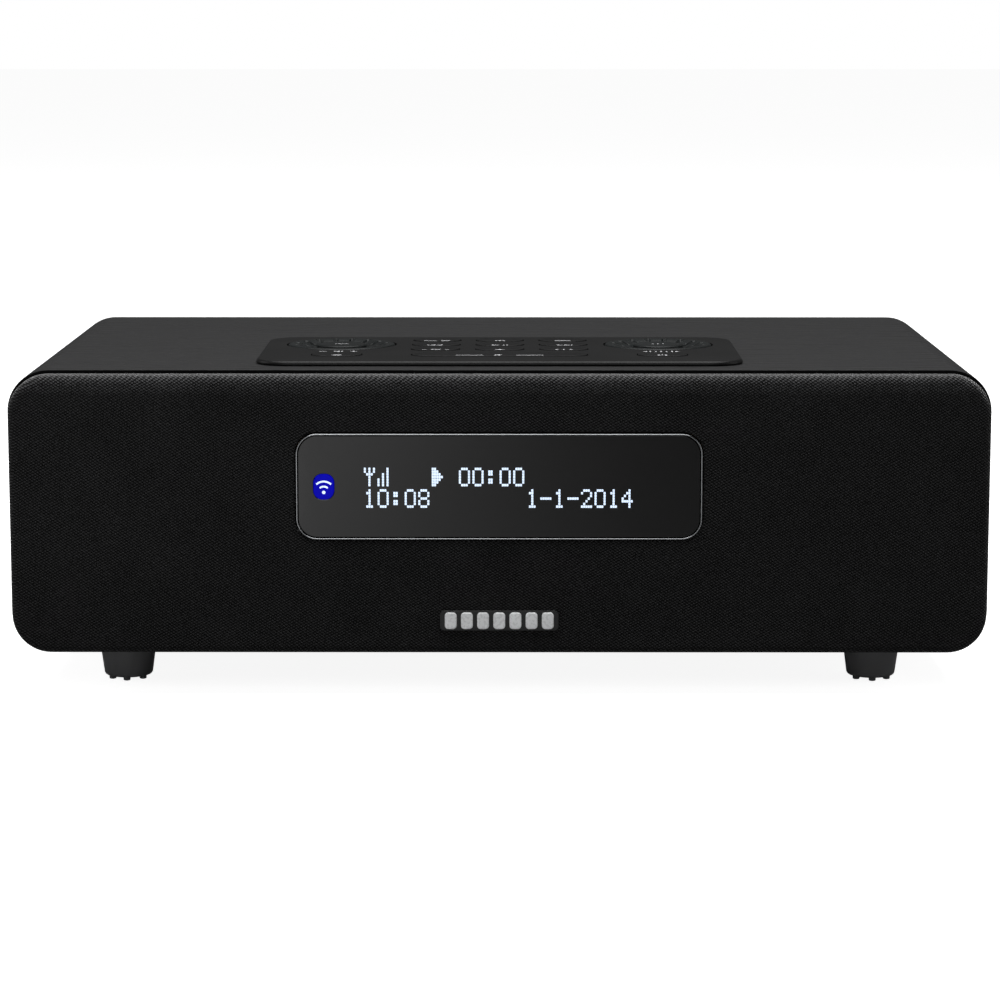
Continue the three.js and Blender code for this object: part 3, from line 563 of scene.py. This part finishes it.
def grille_cloth():
    low, high = span("grille_cloth")
    width, height = high.x - low.x, high.z - low.z
    rings = []
    for z, inset in [(0.6, 0.6), (0.75, 0.2), (1.2, 0), *rounding(3, CLOTH_FACE, 2.8, 8)]:
        outline = rounded_rect(width - 2 * inset, height - 2 * inset, CLOTH_CORNER - inset, 16)
        rings.append([(x, y, z) for x, y in outline])
    for offset, z in ((1.1, CLOTH_FACE), (0.75, CLOTH_FACE - 0.1), (0.5, CLOTH_FACE - 0.5), (0.4, 4)):
        rings.append([(x, y, z) for x, y in display_outline(offset)])
    piece = Shape().skin(rings, capped=False).build("grille_fabric", at_front, 60)
    thickness = piece.modifiers.new("thickness", "SOLIDIFY")
    thickness.thickness = 0.5 * MM
    thickness.offset = -1
    applied(piece)
    shade(piece, 60)
    dress(piece, CLOTH, nodes=["grille_cloth"])


def display_bezel():
    face = FRONT_Y - BEZEL_LOW.y
    steps = [(0, 0.3), (0, face - 0.5), (-0.06, face - 0.26), (-0.2, face - 0.06), (-0.36, face)]
    steps += [(-0.48, face - 0.03), (-RIM + 0.03, face - 0.14), (-RIM, face - 0.3), (-RIM, 0.3)]
    rings = [[(x, y, z) for x, y in display_outline(offset)] for offset, z in steps]
    bezel = Shape().skin(rings, closed=True).build("display_bezel_fine", at_front, 50)
    dress(bezel, BRIGHT_RIM, nodes=["display_bezel"])


def display_window():
    outer = [(0.9, GLASS_BACK), (0.9, GLASS_FACE - 0.25), (0.97, GLASS_FACE - 0.07), (1.15, GLASS_FACE)]
    rings = [[(px, py, z) for px, py in display_outline(-offset)] for offset, z in outer]
    for gap, radius, z in ((0.2, 3.3, GLASS_FACE), (0.1, 3.2, GLASS_FACE - 0.1), (0.1, 3.2, GLASS_BACK)):
        width, height = INDICATOR_W + 2 * gap, INDICATOR_H + 2 * gap
        hole = rounded_rect(width, height, radius, 16, INDICATOR_X, DISPLAY_Y)
        rings.append([(px, py, z) for px, py in hole])
    window = Shape().skin(rings, closed=True).build("display_window_fine", at_front)
    dress(window, GLASS, nodes=["display_window"])


def indicator():
    x, y = INDICATOR_X, DISPLAY_Y
    layers = rounding(3, GLASS_FACE, 0.25)
    pad = Shape().slab(INDICATOR_W, INDICATOR_H, INDICATOR_CORNER, layers, 16, x, y)
    dress(pad.build("indicator_pad", at_front), BLUE, nodes=["indicator_lens"])
    # A dot under two arcs stands for a wireless link.
    mark = Shape().prism(circle(0.6, 24, x, y - 2.0), GLASS_FACE, GLASS_FACE + 0.02)
    for radius in (2.1, 3.9):
        mark.stroke(arc(radius, 48, 132, x, y - 2.0), 0.62, GLASS_FACE, GLASS_FACE + 0.02)
    dress(mark.build("indicator_mark", at_front), LIT)


GLYPHS = {
    "0": (" ### ", "#   #", "#   #", "#   #", "#   #", "#   #", " ### "),
    "1": ("  #  ", " ##  ", "  #  ", "  #  ", "  #  ", "  #  ", " ### "),
    "2": (" ### ", "#   #", "    #", "   # ", "  #  ", " #   ", "#####"),
    "4": ("   # ", "  ## ", " # # ", "#  # ", "#####", "   # ", "   # "),
    "8": (" ### ", "#   #", "#   #", " ### ", "#   #", "#   #", " ### "),
    ":": ("     ", " ##  ", " ##  ", "     ", " ##  ", " ##  ", "     "),
    "-": ("     ", "     ", "     ", "#####", "     ", "     ", "     "),
    ">": ("##   ", "###  ", "#### ", "#####", "#### ", "###  ", "##   "),
    "Y": ("# # #", "# # #", " ### ", "  #  ", "  #  ", "  #  ", "  #  "),
    "^": ("    #", "    #", "  # #", "  # #", "# # #", "# # #", "# # #"),
}
ROWS = [("Y^   > 00:00", 33.7), ("10:08       1-1-2014", 41.4)]


def display_dots():
    """The lit dots of two rows of characters, seen through the window."""
    across, down, lit = 0.8, 0.9625, 0.88  # the dots' pitch, and the lit share of it
    row_start = -47.9
    character = 6  # dots from one character to the next
    shape = Shape()
    for text, below_top in ROWS:
        for column, letter in enumerate(text):
            if letter == " ":
                continue
            for line, dots in enumerate(GLYPHS[letter]):
                for place, dot in enumerate(dots):
                    if dot == " ":
                        continue
                    x = row_start + (character * column + place + 0.5) * across
                    y = HEIGHT / 2 - below_top - (line + 0.5) * down
                    w, h = across * lit / 2, down * lit / 2
                    corners = [(x - w, y - h), (x + w, y - h), (x + w, y + h), (x - w, y + h)]
                    shape.prism(corners, GLASS_FACE, GLASS_FACE + 0.015)
    dress(shape.build("display_dots", at_front), LIT)


def badge():
    low, high = span("badge_plate")
    y = (low.z + high.z) / 2 - MIDDLE_Z
    width, height = high.x - low.x, high.z - low.z
    base, face = FRONT_Y - high.y, FRONT_Y - low.y
    plate = Shape().slab(width, height, 1.6, rounding(base, base + 0.4, 0.2), 8, 0, y)
    dress(plate.build("badge_backing", at_front), JACK_PLASTIC)
    bars = Shape()
    count = 7
    pitch = (width - 2) / count
    for place in range(count):
        x = (place - count // 2) * pitch
        bars.slab(pitch - 1.5, height - 1.2, 1.3, rounding(base + 0.3, face, 0.45), 8, x, y)
    dress(bars.build("badge_bars", at_front), SILVER, nodes=["badge_plate"])


grille_cloth()
display_bezel()
display_window()
indicator()
display_dots()
badge()

# ---------- Top: panel, dials, keys ----------

DIAL_X = 59.5
DIAL_Y = 70.6
DIAL_RADIUS = 20.1
BUTTON_RADIUS = 9.4
SLOPE_OUT, SLOPE_IN, SLOPE_DROP = 17.9, 10.9, 1.7  # the dished slope round a dial's button
NOTCHES = 16
NOTCH_DEPTH, NOTCH_HALF_WIDTH, NOTCH_FADE = 1.0, 0.95, 0.6
PANEL_CORNER = 12
SIGN_LINE_Y = 45.0
PANEL_FACE = span("control_panel")[1].z - TOP_Z
KEY_NODES = [
    ["source_key", "info_key", "menu_key"],
    ["previous_key", "play_key", "next_key"],
    ["alarm_key", "preset_key", "equaliser_key"],
]
KEY_FACE = span("play_key")[1].z - TOP_Z
CAP_SIZES = {"snooze_bar": (64, 12.4), "dimmer_key": (18, 12.4), "power_key": (18, 12.4)}
ALL_KEYS = [name for row in KEY_NODES for name in row] + list(CAP_SIZES)
KEY_CORNER = 5
KEY_GAP = 0.35
SCOOP = 0.55  # how deep the hollow in a key's top is


def key_place(name):
    centre = middle(name)
    width, depth = CAP_SIZES.get(name, (17.6, 11))
    return centre.x, centre.y - FRONT_Y, width, depth


def control_panel():
    low, high = span("control_panel")
    width, depth = high.x - low.x, high.y - low.y
    layers = [(0.3, 0.0), *rounding(0.5, PANEL_FACE, 1.2, 6)]
    shape = Shape().slab(width, depth, PANEL_CORNER, layers, 16, 0, PANEL_MIDDLE)
    panel = shape.build("control_panel_fine", at_top)
    holes = Shape()
    for x in (-DIAL_X, DIAL_X):
        holes.prism(circle(DIAL_RADIUS + 0.5, 128, x, DIAL_Y), -3, 5)
    for name in ALL_KEYS:
        x, y, key_width, key_depth = key_place(name)
        hole_width, hole_depth = key_width + 2 * KEY_GAP, key_depth + 2 * KEY_GAP
        holes.prism(rounded_rect(hole_width, hole_depth, KEY_CORNER + KEY_GAP, 10, x, y), -3, 5)
    cut_out(panel, holes, at_top, bevel=0.22)
    dress(panel, PANEL_PLASTIC)
    thick = 1.8
    outer = rounded_rect(SKIRT_W, SKIRT_D, SKIRT_CORNER, 8, 0, PANEL_MIDDLE)
    inner = rounded_rect(SKIRT_W - 2 * thick, SKIRT_D - 2 * thick, SKIRT_CORNER - thick, 8, 0, PANEL_MIDDLE)
    skirt = Shape().ring(outer, inner, -6, 0.4)
    dress(skirt.build("panel_skirt", at_top), PANEL_PLASTIC, nodes=["control_panel"])


def notch(radius, z, turn):
    """How deep the grip notches in a dial's slope are at a radius and a turn."""
    if z < 0 or not SLOPE_IN < radius < SLOPE_OUT:
        return 0.0
    pitch = 2 * math.pi / NOTCHES
    away = abs((turn / pitch) % 1 - 0.5) * pitch * radius
    along = min(1.0, (radius - SLOPE_IN) / NOTCH_FADE, (SLOPE_OUT - radius) / NOTCH_FADE)
    return NOTCH_DEPTH * along * max(0.0, 1 - (away / NOTCH_HALF_WIDTH) ** 4)


def dial(name):
    centre = middle(name)
    crest = span(name)[1].z - TOP_Z
    base = -2.6
    bore = BUTTON_RADIUS + 0.5
    profile = [(bore, base), (DIAL_RADIUS, base), (DIAL_RADIUS, crest - 0.8)]
    profile += [(DIAL_RADIUS - 0.1, crest - 0.4), (DIAL_RADIUS - 0.4, crest - 0.12)]
    profile += [(DIAL_RADIUS - 0.8, crest - 0.02)]
    profile += [(18.6, crest), (18.0, crest)]
    for step in range(13):
        part = step / 12
        eased = part * part * (3 - 2 * part)
        profile.append((SLOPE_OUT - (SLOPE_OUT - SLOPE_IN) * part, crest - SLOPE_DROP * eased))
    profile += [(bore + 0.4, crest - SLOPE_DROP), (bore + 0.1, crest - 1.8), (bore, crest - 2.0)]
    shape = Shape().lathe(profile, 384, centre.x, centre.y - FRONT_Y, closed=True, carve=notch)
    dress(shape.build(name + "_fine", at_top, 40), DIAL_PLASTIC, name, [name])


def push_button(name):
    centre = middle(name)
    low, high = span(name)
    face = high.z - TOP_Z
    base = low.z - TOP_Z
    stem = 2.5
    profile = [(0, base), (stem, base), (stem, -1.4), (BUTTON_RADIUS, -1.4), (BUTTON_RADIUS, face - 0.8)]
    profile += [(9.3, face - 0.4), (9.0, face - 0.15), (8.4, face - 0.02)]
    profile += [(7.6, face), (5, face - 0.05), (0, face - 0.08)]
    shape = Shape().lathe(profile, 128, centre.x, centre.y - FRONT_Y)
    dress(shape.build(name + "_fine", at_top), DIAL_PLASTIC, name, [name])


def key_cap(name):
    x, y, width, depth = key_place(name)
    low = span(name)[0].z - TOP_Z
    layers = rounding(-1.2, KEY_FACE, 0.3, 4)
    for step in range(1, 9):
        part = step / 8
        layers.append((KEY_FACE - SCOOP * math.sin(part * math.pi / 2) ** 1.5, 0.4 + 4.5 * part))
    shape = Shape().slab(width, depth, KEY_CORNER, layers, 10, x, y)
    # A flange under the panel holds the cap in, and a stem reaches the key switch.
    shape.slab(width + 1.8, depth + 1.8, 1, [(-1.7, 0), (-0.9, 0)], 3, x, y)
    shape.slab(4, 4, 0.4, [(low, 0), (-1.5, 0)], 2, x, y)
    dress(shape.build(name + "_fine", at_top), KEY_PLASTIC, name, [name])


# Printed signs, drawn round 0, 0 and about 4 mm high: each is a list of pen strokes, fills and dots.


def pen(*points):
    return "line", list(points)


def fill(*points):
    return "fill", list(points)


def spot(x, y):
    return "dot", (x, y)


def curve(*bend):
    return "line", arc(*bend)


def ray(turn, start, end):
    across, up = math.cos(turn), math.sin(turn)
    return pen((start * across, start * up), (end * across, end * up))


SIGNS = {
    "source_key": [
        pen((-3.6, 1.3), (-5, 1.3), (-5, -1.3), (-3.6, -1.3)),
        pen((-4, 0), (-1.2, 0)),
        fill((-1.6, 0.9), (-0.1, 0), (-1.6, -0.9)),
        pen((1.4, 1.2), (5, 1.2)),
        pen((1.4, 0), (4.2, 0)),
        pen((1.4, -1.2), (4.8, -1.2)),
    ],
    "info_key": [curve(1.7, 0, 360), pen((0, -0.8), (0, 0.3)), spot(0, 0.9)],
    "menu_key": [pen((-3, y), (3, y)) for y in (-1.4, 0, 1.4)],
    "previous_key": [
        pen((-3.2, -1.4), (-3.2, 1.4)),
        fill((-0.4, 1.5), (-2.9, 0), (-0.4, -1.5)),
        fill((2.3, 1.5), (-0.2, 0), (2.3, -1.5)),
    ],
    "play_key": [
        fill((-3, 1.5), (0, 0), (-3, -1.5)),
        pen((1.4, -1.3), (1.4, 1.3)),
        pen((2.7, -1.3), (2.7, 1.3)),
    ],
    "next_key": [
        pen((3.2, -1.4), (3.2, 1.4)),
        fill((0.4, 1.5), (2.9, 0), (0.4, -1.5)),
        fill((-2.3, 1.5), (0.2, 0), (-2.3, -1.5)),
    ],
    "alarm_key": [
        curve(1.4, 0, 360),
        pen((0, 0.8), (0, 0), (0.7, 0)),
        pen((-1.9, 1.3), (-1.2, 1.8)),
        pen((1.9, 1.3), (1.2, 1.8)),
        pen((-5, 0), (-3.4, 0)),
        pen((3.4, 0), (5, 0)),
    ],
    "preset_key": [
        fill((0, 1.8), (0.5, 0.5), (1.9, 0.5), (0.8, -0.3), (1.2, -1.6),
             (0, -0.8), (-1.2, -1.6), (-0.8, -0.3), (-1.9, 0.5), (-0.5, 0.5)),
    ],
    "equaliser_key": [
        part
        for x, y in ((-2.6, 0.6), (0, -0.7), (2.6, 0.2))
        for part in (pen((x, -1.6), (x, 1.6)), pen((x - 0.7, y), (x + 0.7, y)))
    ],
    "snooze_bar": [
        curve(1.7, 60, 300),
        curve(2.1, 118, 242, 1.85, 0),
        pen((-16, 0), (-6, 0)),
        pen((6, 0), (16, 0)),
    ],
    "dimmer_key": [curve(0.8, 0, 360)] + [ray(math.pi / 4 * place, 1.35, 1.9) for place in range(8)],
    "power_key": [curve(1.5, 125, 415), pen((0, 0.4), (0, 2))],
    "volume_mark": [
        fill((-1.6, -0.6), (-1.6, 0.6), (-0.7, 0.6), (0.5, 1.5), (0.5, -1.5), (-0.7, -0.6)),
        curve(1.4, -45, 45, 0.1, 0),
        pen((-7, 0), (-4.4, 0)),
        pen((4.4, 0), (7, 0)),
        pen((5.7, -1.3), (5.7, 1.3)),
    ],
    "tuning_mark": [
        *(pen((x, -1.4), (x, 0.2 if x % 4 else 1.4)) for x in (-4, -2, 0, 2, 4)),
        fill((-5.2, 1), (-6.9, 0), (-5.2, -1)),
        fill((5.2, 1), (6.9, 0), (5.2, -1)),
    ],
    "mute_button": [pen((-2.5, 0), (2.5, 0))],
    "select_button": [spot(-2, 0), spot(0, 0), spot(2, 0)],
    "headphone_mark": [
        curve(1.7, 0, 180),
        fill((-2, 0.1), (-1.1, 0.1), (-1.1, -1.5), (-2, -1.5)),
        fill((2, 0.1), (1.1, 0.1), (1.1, -1.5), (2, -1.5)),
    ],
    "line_in_mark": [
        curve(1.7, 40, 320),
        pen((3.4, 0), (0.6, 0)),
        fill((1, 0.8), (-0.3, 0), (1, -0.8)),
    ],
    "power_mark": [spot(0, 0), curve(1.3, 50, 310), pen((-4, 0), (-1.4, 0)), pen((0, 0), (4, 0))],
}


def printed(name, body, place, x, y, z, height=0.02, scale=1.0, weight=0.52):
    """A sign printed a hair above the surface at z, in the frame that place gives."""
    shape = Shape()
    for kind, points in SIGNS[name]:
        if kind == "dot":
            shape.prism(circle(0.42, 20, x + scale * points[0], y + scale * points[1]), z, z + height)
            continue
        moved = [(x + scale * px, y + scale * py) for px, py in points]
        if kind == "fill":
            shape.prism(moved, z, z + height)
        else:
            shape.stroke(moved, weight, z, z + height)
    return dress(shape.build(name + "_print", place), PRINT, body)


control_panel()
for dial_name in ("volume_dial", "tuning_dial"):
    dial(dial_name)
for button_name in ("mute_button", "select_button"):
    push_button(button_name)
    button = middle(button_name)
    button_face = span(button_name)[1].z - TOP_Z
    printed(button_name, button_name, at_top, button.x, button.y - FRONT_Y, button_face - 0.08, 0.05)
for key_name in ALL_KEYS:
    key_cap(key_name)
    key_x, key_y, _, _ = key_place(key_name)
    printed(key_name, key_name, at_top, key_x, key_y, KEY_FACE - SCOOP - 0.02, 0.09)
printed("volume_mark", ROOT, at_top, -DIAL_X, SIGN_LINE_Y, PANEL_FACE)
printed("tuning_mark", ROOT, at_top, DIAL_X, SIGN_LINE_Y, PANEL_FACE)

# ---------- Rear: panel, sockets, screws ----------

REAR_FACE = span("rear_panel")[1].y - BACK_Y
JACK_Y = middle("jack_plate").z - MIDDLE_Z
JACK_FACE = span("jack_plate")[1].y - BACK_Y
# Each socket's nose radius and bore radius.
SOCKETS = [("headphone_socket", 3.9, 1.8), ("line_in_socket", 3.9, 1.8), ("power_inlet", 4.8, 3.2)]
SOCKET_SIGNS = {
    "headphone_socket": "headphone_mark",
    "line_in_socket": "line_in_mark",
    "power_inlet": "power_mark",
}
SOCKET_SIGN_Y = JACK_Y + 7.6
JACK_W, JACK_H = 74, 22
JACK_INSET = 3.0  # from the jack plate's edge to the opening in the panel behind it
SCREW_X, SCREW_Y = 158, 34
ANTENNA_X = -middle("antenna_base").x
ANTENNA_Y = middle("antenna_base").z - MIDDLE_Z
ANTENNA_AXIS = 7.0
ANTENNA_BASE = REAR_FACE + 0.3
# Each tube's radius, bore radius, start and end along the folded antenna.
TUBES = [(3.1, 2.65, 4.2, 175), (2.3, 1.9, 9, 177), (1.6, 1.25, 13, 179), (0.95, 0, 17, 181)]


def rear_panel():
    low, high = span("rear_panel")
    width, height = high.x - low.x, high.z - low.z
    layers = [(REAR_FACE - 3, 0), *rounding(REAR_FACE - 1, REAR_FACE, 0.5, 4)]
    panel = Shape().slab(width, height, 4.7, layers, 10).build("rear_panel_fine", at_rear)
    holes = Shape().prism(circle(6.4, 48, ANTENNA_X, ANTENNA_Y), -9, 2)
    opening_w, opening_h = JACK_W - 2 * JACK_INSET, JACK_H - 2 * JACK_INSET
    holes.prism(rounded_rect(opening_w, opening_h, 3, 6, 0, JACK_Y), -9, 2)
    for x in (-SCREW_X, SCREW_X):
        for y in (-SCREW_Y, SCREW_Y):
            holes.prism(circle(1.8, 24, x, y), -9, 2)
    cut_out(panel, holes, at_rear, bevel=0.2)
    dress(panel, REAR_PLASTIC, nodes=["rear_panel"])


def jack_plate():
    base = REAR_FACE + 0.3
    plug = JACK_INSET + 0.3
    layers = [(REAR_FACE - 3, plug), (base, plug), (base, 0), *rounding(base + 0.3, JACK_FACE, 0.5, 4)]
    plate = Shape().slab(JACK_W, JACK_H, 4, layers, 10, 0, JACK_Y).build("jack_plate_fine", at_rear)
    holes = Shape()
    for name, nose, _ in SOCKETS:
        holes.prism(circle(nose + 0.5, 48, -middle(name).x, JACK_Y), -9, 2)
    cut_out(plate, holes, at_rear, bevel=0.2)
    dress(plate, JACK_PLASTIC, nodes=["jack_plate"])


def sockets():
    for name, nose, bore in SOCKETS:
        x = -middle(name).x
        face = JACK_FACE
        profile = [(nose, -15), (nose, face - 0.4), (nose - 0.1, face - 0.1), (nose - 0.4, face)]
        profile += [(bore + 0.3, face), (bore + 0.05, face - 0.2), (bore, face - 0.5), (bore, -14)]
        shape = Shape().lathe(profile, 64, x, JACK_Y, closed=True)
        shape.slab(2 * nose + 0.6, 2 * nose + 0.6, 0.6, [(-17, 0), (-14.4, 0)], 3, x, JACK_Y)
        if name == "power_inlet":
            shape.lathe([(0, -15), (1, -15), (1, -3.4), (0.7, -3.05), (0, -3)], 32, x, JACK_Y)
        finish = JACK_PLASTIC if name == "power_inlet" else STEEL
        dress(shape.build(name + "_fine", at_rear), finish, nodes=[name])
    for name, sign in SOCKET_SIGNS.items():
        printed(sign, ROOT, at_rear, -middle(name).x, SOCKET_SIGN_Y, JACK_FACE, 0.02, 0.9, 0.45)


def rear_screw(node):
    centre = middle(node)
    x, y = -centre.x, centre.z - MIDDLE_Z
    low = REAR_FACE + 0.3
    profile = [(0, low - 15), (1.4, low - 14), (1.4, low), (3.3, low), (3.4, low + 0.15), (3.3, low + 0.6)]
    profile += [(2.9, low + 1.1), (2.2, low + 1.45), (1.2, low + 1.6), (0, low + 1.6)]
    screw = Shape().lathe(profile, 48, x, y).build(node + "_fine", at_rear)
    cross = Shape().slab(3.6, 0.75, 0.1, [(low + 0.7, 0), (low + 3, 0)], 2, x, y)
    cross.slab(0.75, 3.6, 0.1, [(low + 0.6, 0), (low + 3.1, 0)], 2, x, y)
    cut_out(screw, cross, at_rear)
    dress(screw, STEEL, nodes=[node])


def along_antenna(x, y, z):
    return at_rear(ANTENNA_X + z, ANTENNA_Y + y, ANTENNA_AXIS + x)


def at_pivot(x, y, z):
    """Rings drawn in x, z of the rear frame, given thickness up the pivot pin."""
    return at_rear(ANTENNA_X + x, ANTENNA_Y + z, y)


def lug(radius, low):
    """A tab from low up to a round end about the pivot pin."""
    steps = 24
    turns = [math.pi * step / steps for step in range(steps + 1)]
    rounded = [(radius * math.cos(turn), ANTENNA_AXIS + radius * math.sin(turn)) for turn in turns]
    return [(-radius, low), (radius, low), *rounded]


def antenna_base():
    base = ANTENNA_BASE
    ring = [(3.4, -8), (6, -8), (6, base), (9, base), (9, base + 0.9)]
    ring += [(8.8, base + 1.3), (8.3, base + 1.6), (3.4, base + 1.6)]
    shape = Shape().lathe(ring, 96, ANTENNA_X, ANTENNA_Y, closed=True)
    dress(shape.build("antenna_base_fine", at_rear), JACK_PLASTIC, nodes=["antenna_base"])


def antenna_swivel():
    low = ANTENNA_BASE + 1.9
    head = [(0, -9), (3, -9), (3, low), (7.4, low), (7.5, low + 0.2), (7.5, low + 1.4)]
    head += [(7.2, low + 1.9), (6.7, low + 2.2), (0, low + 2.2)]
    shape = Shape().lathe(head, 96, ANTENNA_X, ANTENNA_Y)
    swivel = shape.build("antenna_swivel_fine", at_rear)
    ears = Shape()
    for near, far in ((2.3, 4.3), (-4.3, -2.3)):
        ears.prism(lug(3.5, low + 1.5), near, far)
    ears = ears.build("ears", at_pivot)
    soften(ears, 0.25)
    pin = Shape().prism(circle(1.2, 32, 0, ANTENNA_AXIS), -3.8, 3.8).build("pin", at_pivot)
    merge(swivel, ears, pin)
    shade(swivel)
    dress(swivel, ANTENNA_STEEL, "antenna_swivel", ["antenna_swivel"])


def antenna_section(place):
    radius, bore, start, end = TUBES[place]
    node = f"antenna_section_{place + 1}"
    profile = [(0, start), (radius, start), (radius, end - 0.5)]
    profile += [(radius - 0.08, end - 0.15), (radius - 0.2, end)]
    if bore:
        profile += [(bore, end), (bore, start + 3), (0, start + 3)]
    else:
        profile += [(2.6, end), (3.0, end + 0.25), (3.1, end + 0.7), (3.1, end + 4.6)]
        profile += [(2.8, end + 5.2), (2.1, end + 5.5), (0, end + 5.5)]
    tube = Shape().lathe(profile, 64)
    if place == 0:
        collar = [(bore, 6), (3.3, 6), (3.4, 6.2), (3.4, 10.9), (3.3, 11.2), (bore, 11.2)]
        tube.lathe(collar, 64, closed=True)
    piece = tube.build(node + "_fine", along_antenna, 30)
    if place == 0:
        eye = Shape().ring(circle(3.3, 48, 0, ANTENNA_AXIS), circle(1.6, 48, 0, ANTENNA_AXIS), -2, 2)
        merge(piece, eye.build("eye", at_pivot))
        shade(piece, 30)
    dress(piece, ANTENNA_STEEL, node, [node])


rear_panel()
jack_plate()
sockets()
for screw_place in range(1, 5):
    rear_screw(f"rear_screw_{screw_place}")
antenna_base()
antenna_swivel()
for section_place in range(len(TUBES)):
    antenna_section(section_place)

# ---------- CAD nodes that stay as they are ----------

KEPT = {
    "front_baffle": INNER["front_baffle"],
    "grille_frame": INNER["grille_frame"],
    "display_module": INNER["circuit"],
    "control_board": INNER["circuit"],
    "main_board": INNER["circuit"],
    "volume_encoder": JACK_PLASTIC,
    "tuning_encoder": JACK_PLASTIC,
    "left_speaker_lead": JACK_PLASTIC,
    "right_speaker_lead": JACK_PLASTIC,
    "display_ribbon": INNER["cable"],
    "control_ribbon": INNER["cable"],
}
for side in ("left", "right"):
    KEPT[f"{side}_speaker_basket"] = STEEL
    KEPT[f"{side}_speaker_magnet"] = STEEL
    KEPT[f"{side}_speaker_cone"] = INNER["cone"]
for node, material in KEPT.items():
    for slot in frame["nodes"][node].material_slots:
        slot.link = "OBJECT"
        slot.material = material

# ---------- Floor, light and camera ----------


def floor():
    size = 12000
    sheet = Shape().prism([(-size, -size), (size, -size), (size, size), (-size, size)], -5, 0)
    piece = sheet.build("studio_floor")
    finish = Finish("studio_floor", Roughness=0.9, Specular_IOR_Level=0.1)
    slow = finish.noise(3, 2)
    path = finish.nodes.new("ShaderNodeLightPath").outputs["Is Camera Ray"]
    pale = finish.blend(finish.spread(slow, 0, 1), (0.80, 0.80, 0.80), (0.82, 0.82, 0.82))
    finish.feed("Base Color", finish.blend(path, (0.25, 0.25, 0.25), pale))
    finish.feed("Emission Strength", finish.math("MULTIPLY", path, 0.9))
    finish.shader.inputs["Emission Color"].default_value = (1, 1, 1, 1)
    piece.data.materials.append(finish.material)


def light_card():
    """A low card in front, brighter to the left, that the window mirrors."""
    left, right = -1500, 400
    near, far = FRONT_Y - 160, FRONT_Y - 2400
    card = Shape().prism([(left, far), (right, far), (right, near), (left, near)], 0.5, 1.0)
    card.prism([(left, far - 2), (right, far - 2), (right, far), (left, far)], 1, 700)
    piece = card.build("light_card")
    finish = Finish("light_card", Roughness=1.0)
    across = finish.nodes.new("ShaderNodeSeparateXYZ")
    finish.links.new(finish.place, across.inputs[0])
    fall = finish.spread(across.outputs["X"], 1.0, 0.0, -0.115, 0.138)
    finish.feed("Emission Strength", finish.math("MULTIPLY", finish.math("MULTIPLY", fall, fall), 0.95))
    finish.shader.inputs["Emission Color"].default_value = (1, 1, 1, 1)
    finish.shader.inputs["Base Color"].default_value = (0.12, 0.12, 0.12, 1)
    piece.data.materials.append(finish.material)
    piece.visible_camera = False
    piece.visible_shadow = False


def world():
    made = bpy.data.worlds.new("studio")
    bpy.context.scene.world = made
    made.use_nodes = True
    nodes, links = made.node_tree.nodes, made.node_tree.links
    background = nodes["Background"]
    path = nodes.new("ShaderNodeLightPath")
    strength = nodes.new("ShaderNodeMapRange")
    links.new(path.outputs["Is Camera Ray"], strength.inputs["Value"])
    strength.inputs["To Min"].default_value = 0.08
    strength.inputs["To Max"].default_value = 1.0
    background.inputs["Color"].default_value = (1, 1, 1, 1)
    links.new(strength.outputs["Result"], background.inputs["Strength"])


def softbox(name, place, aim, size, power, mirrored=True):
    """A flat light; one that isn't mirrored lights the part but makes no highlights."""
    light = bpy.data.lights.new(name, "AREA")
    light.shape = "RECTANGLE"
    light.size, light.size_y = size
    light.energy = power
    piece = bpy.data.objects.new(name, light)
    piece.location = place
    piece.rotation_euler = (Vector(aim) - Vector(place)).to_track_quat("-Z", "Y").to_euler()
    piece.visible_glossy = mirrored
    bpy.context.scene.collection.objects.link(piece)


def camera():
    lens = bpy.data.cameras.new("camera")
    lens.lens = 115.1
    lens.sensor_width = 36
    lens.clip_start = 0.05
    piece = bpy.data.objects.new("camera", lens)
    aside, away, above = 0.0035, 1.128, 0.1265
    pitch, yaw = 8.73, 0.165
    piece.location = (aside, FRONT_Y * MM - away, TOP_Z * MM + above)
    piece.rotation_euler = (math.radians(90 - pitch), 0, math.radians(yaw))
    bpy.context.scene.collection.objects.link(piece)
    bpy.context.scene.camera = piece


floor()
light_card()
world()
softbox("overhead", (0, -0.1, 1.5), (0, 0, 0), (1.6, 1.2), 27)
softbox("front", (-0.2, -2.1, 1.4), (0, 0, 0.06), (1.6, 1.0), 7.5)
softbox("left", (-2.0, 0.3, 1.0), (0, 0, 0.05), (1.2, 1.0), 6)
softbox("right", (2.0, -0.1, 0.8), (0, 0, 0.05), (1.2, 1.0), 5)
softbox("rear", (0.4, 2.2, 0.05), (0, 0.1, 0.05), (1.8, 0.08), 18, mirrored=False)
softbox("rear_high", (0.1, 1.3, 2.2), (0, 0.1, 0.08), (1.2, 0.8), 5)
camera()

scene = bpy.context.scene
scene.view_settings.view_transform = "Standard"
scene.view_settings.look = "None"
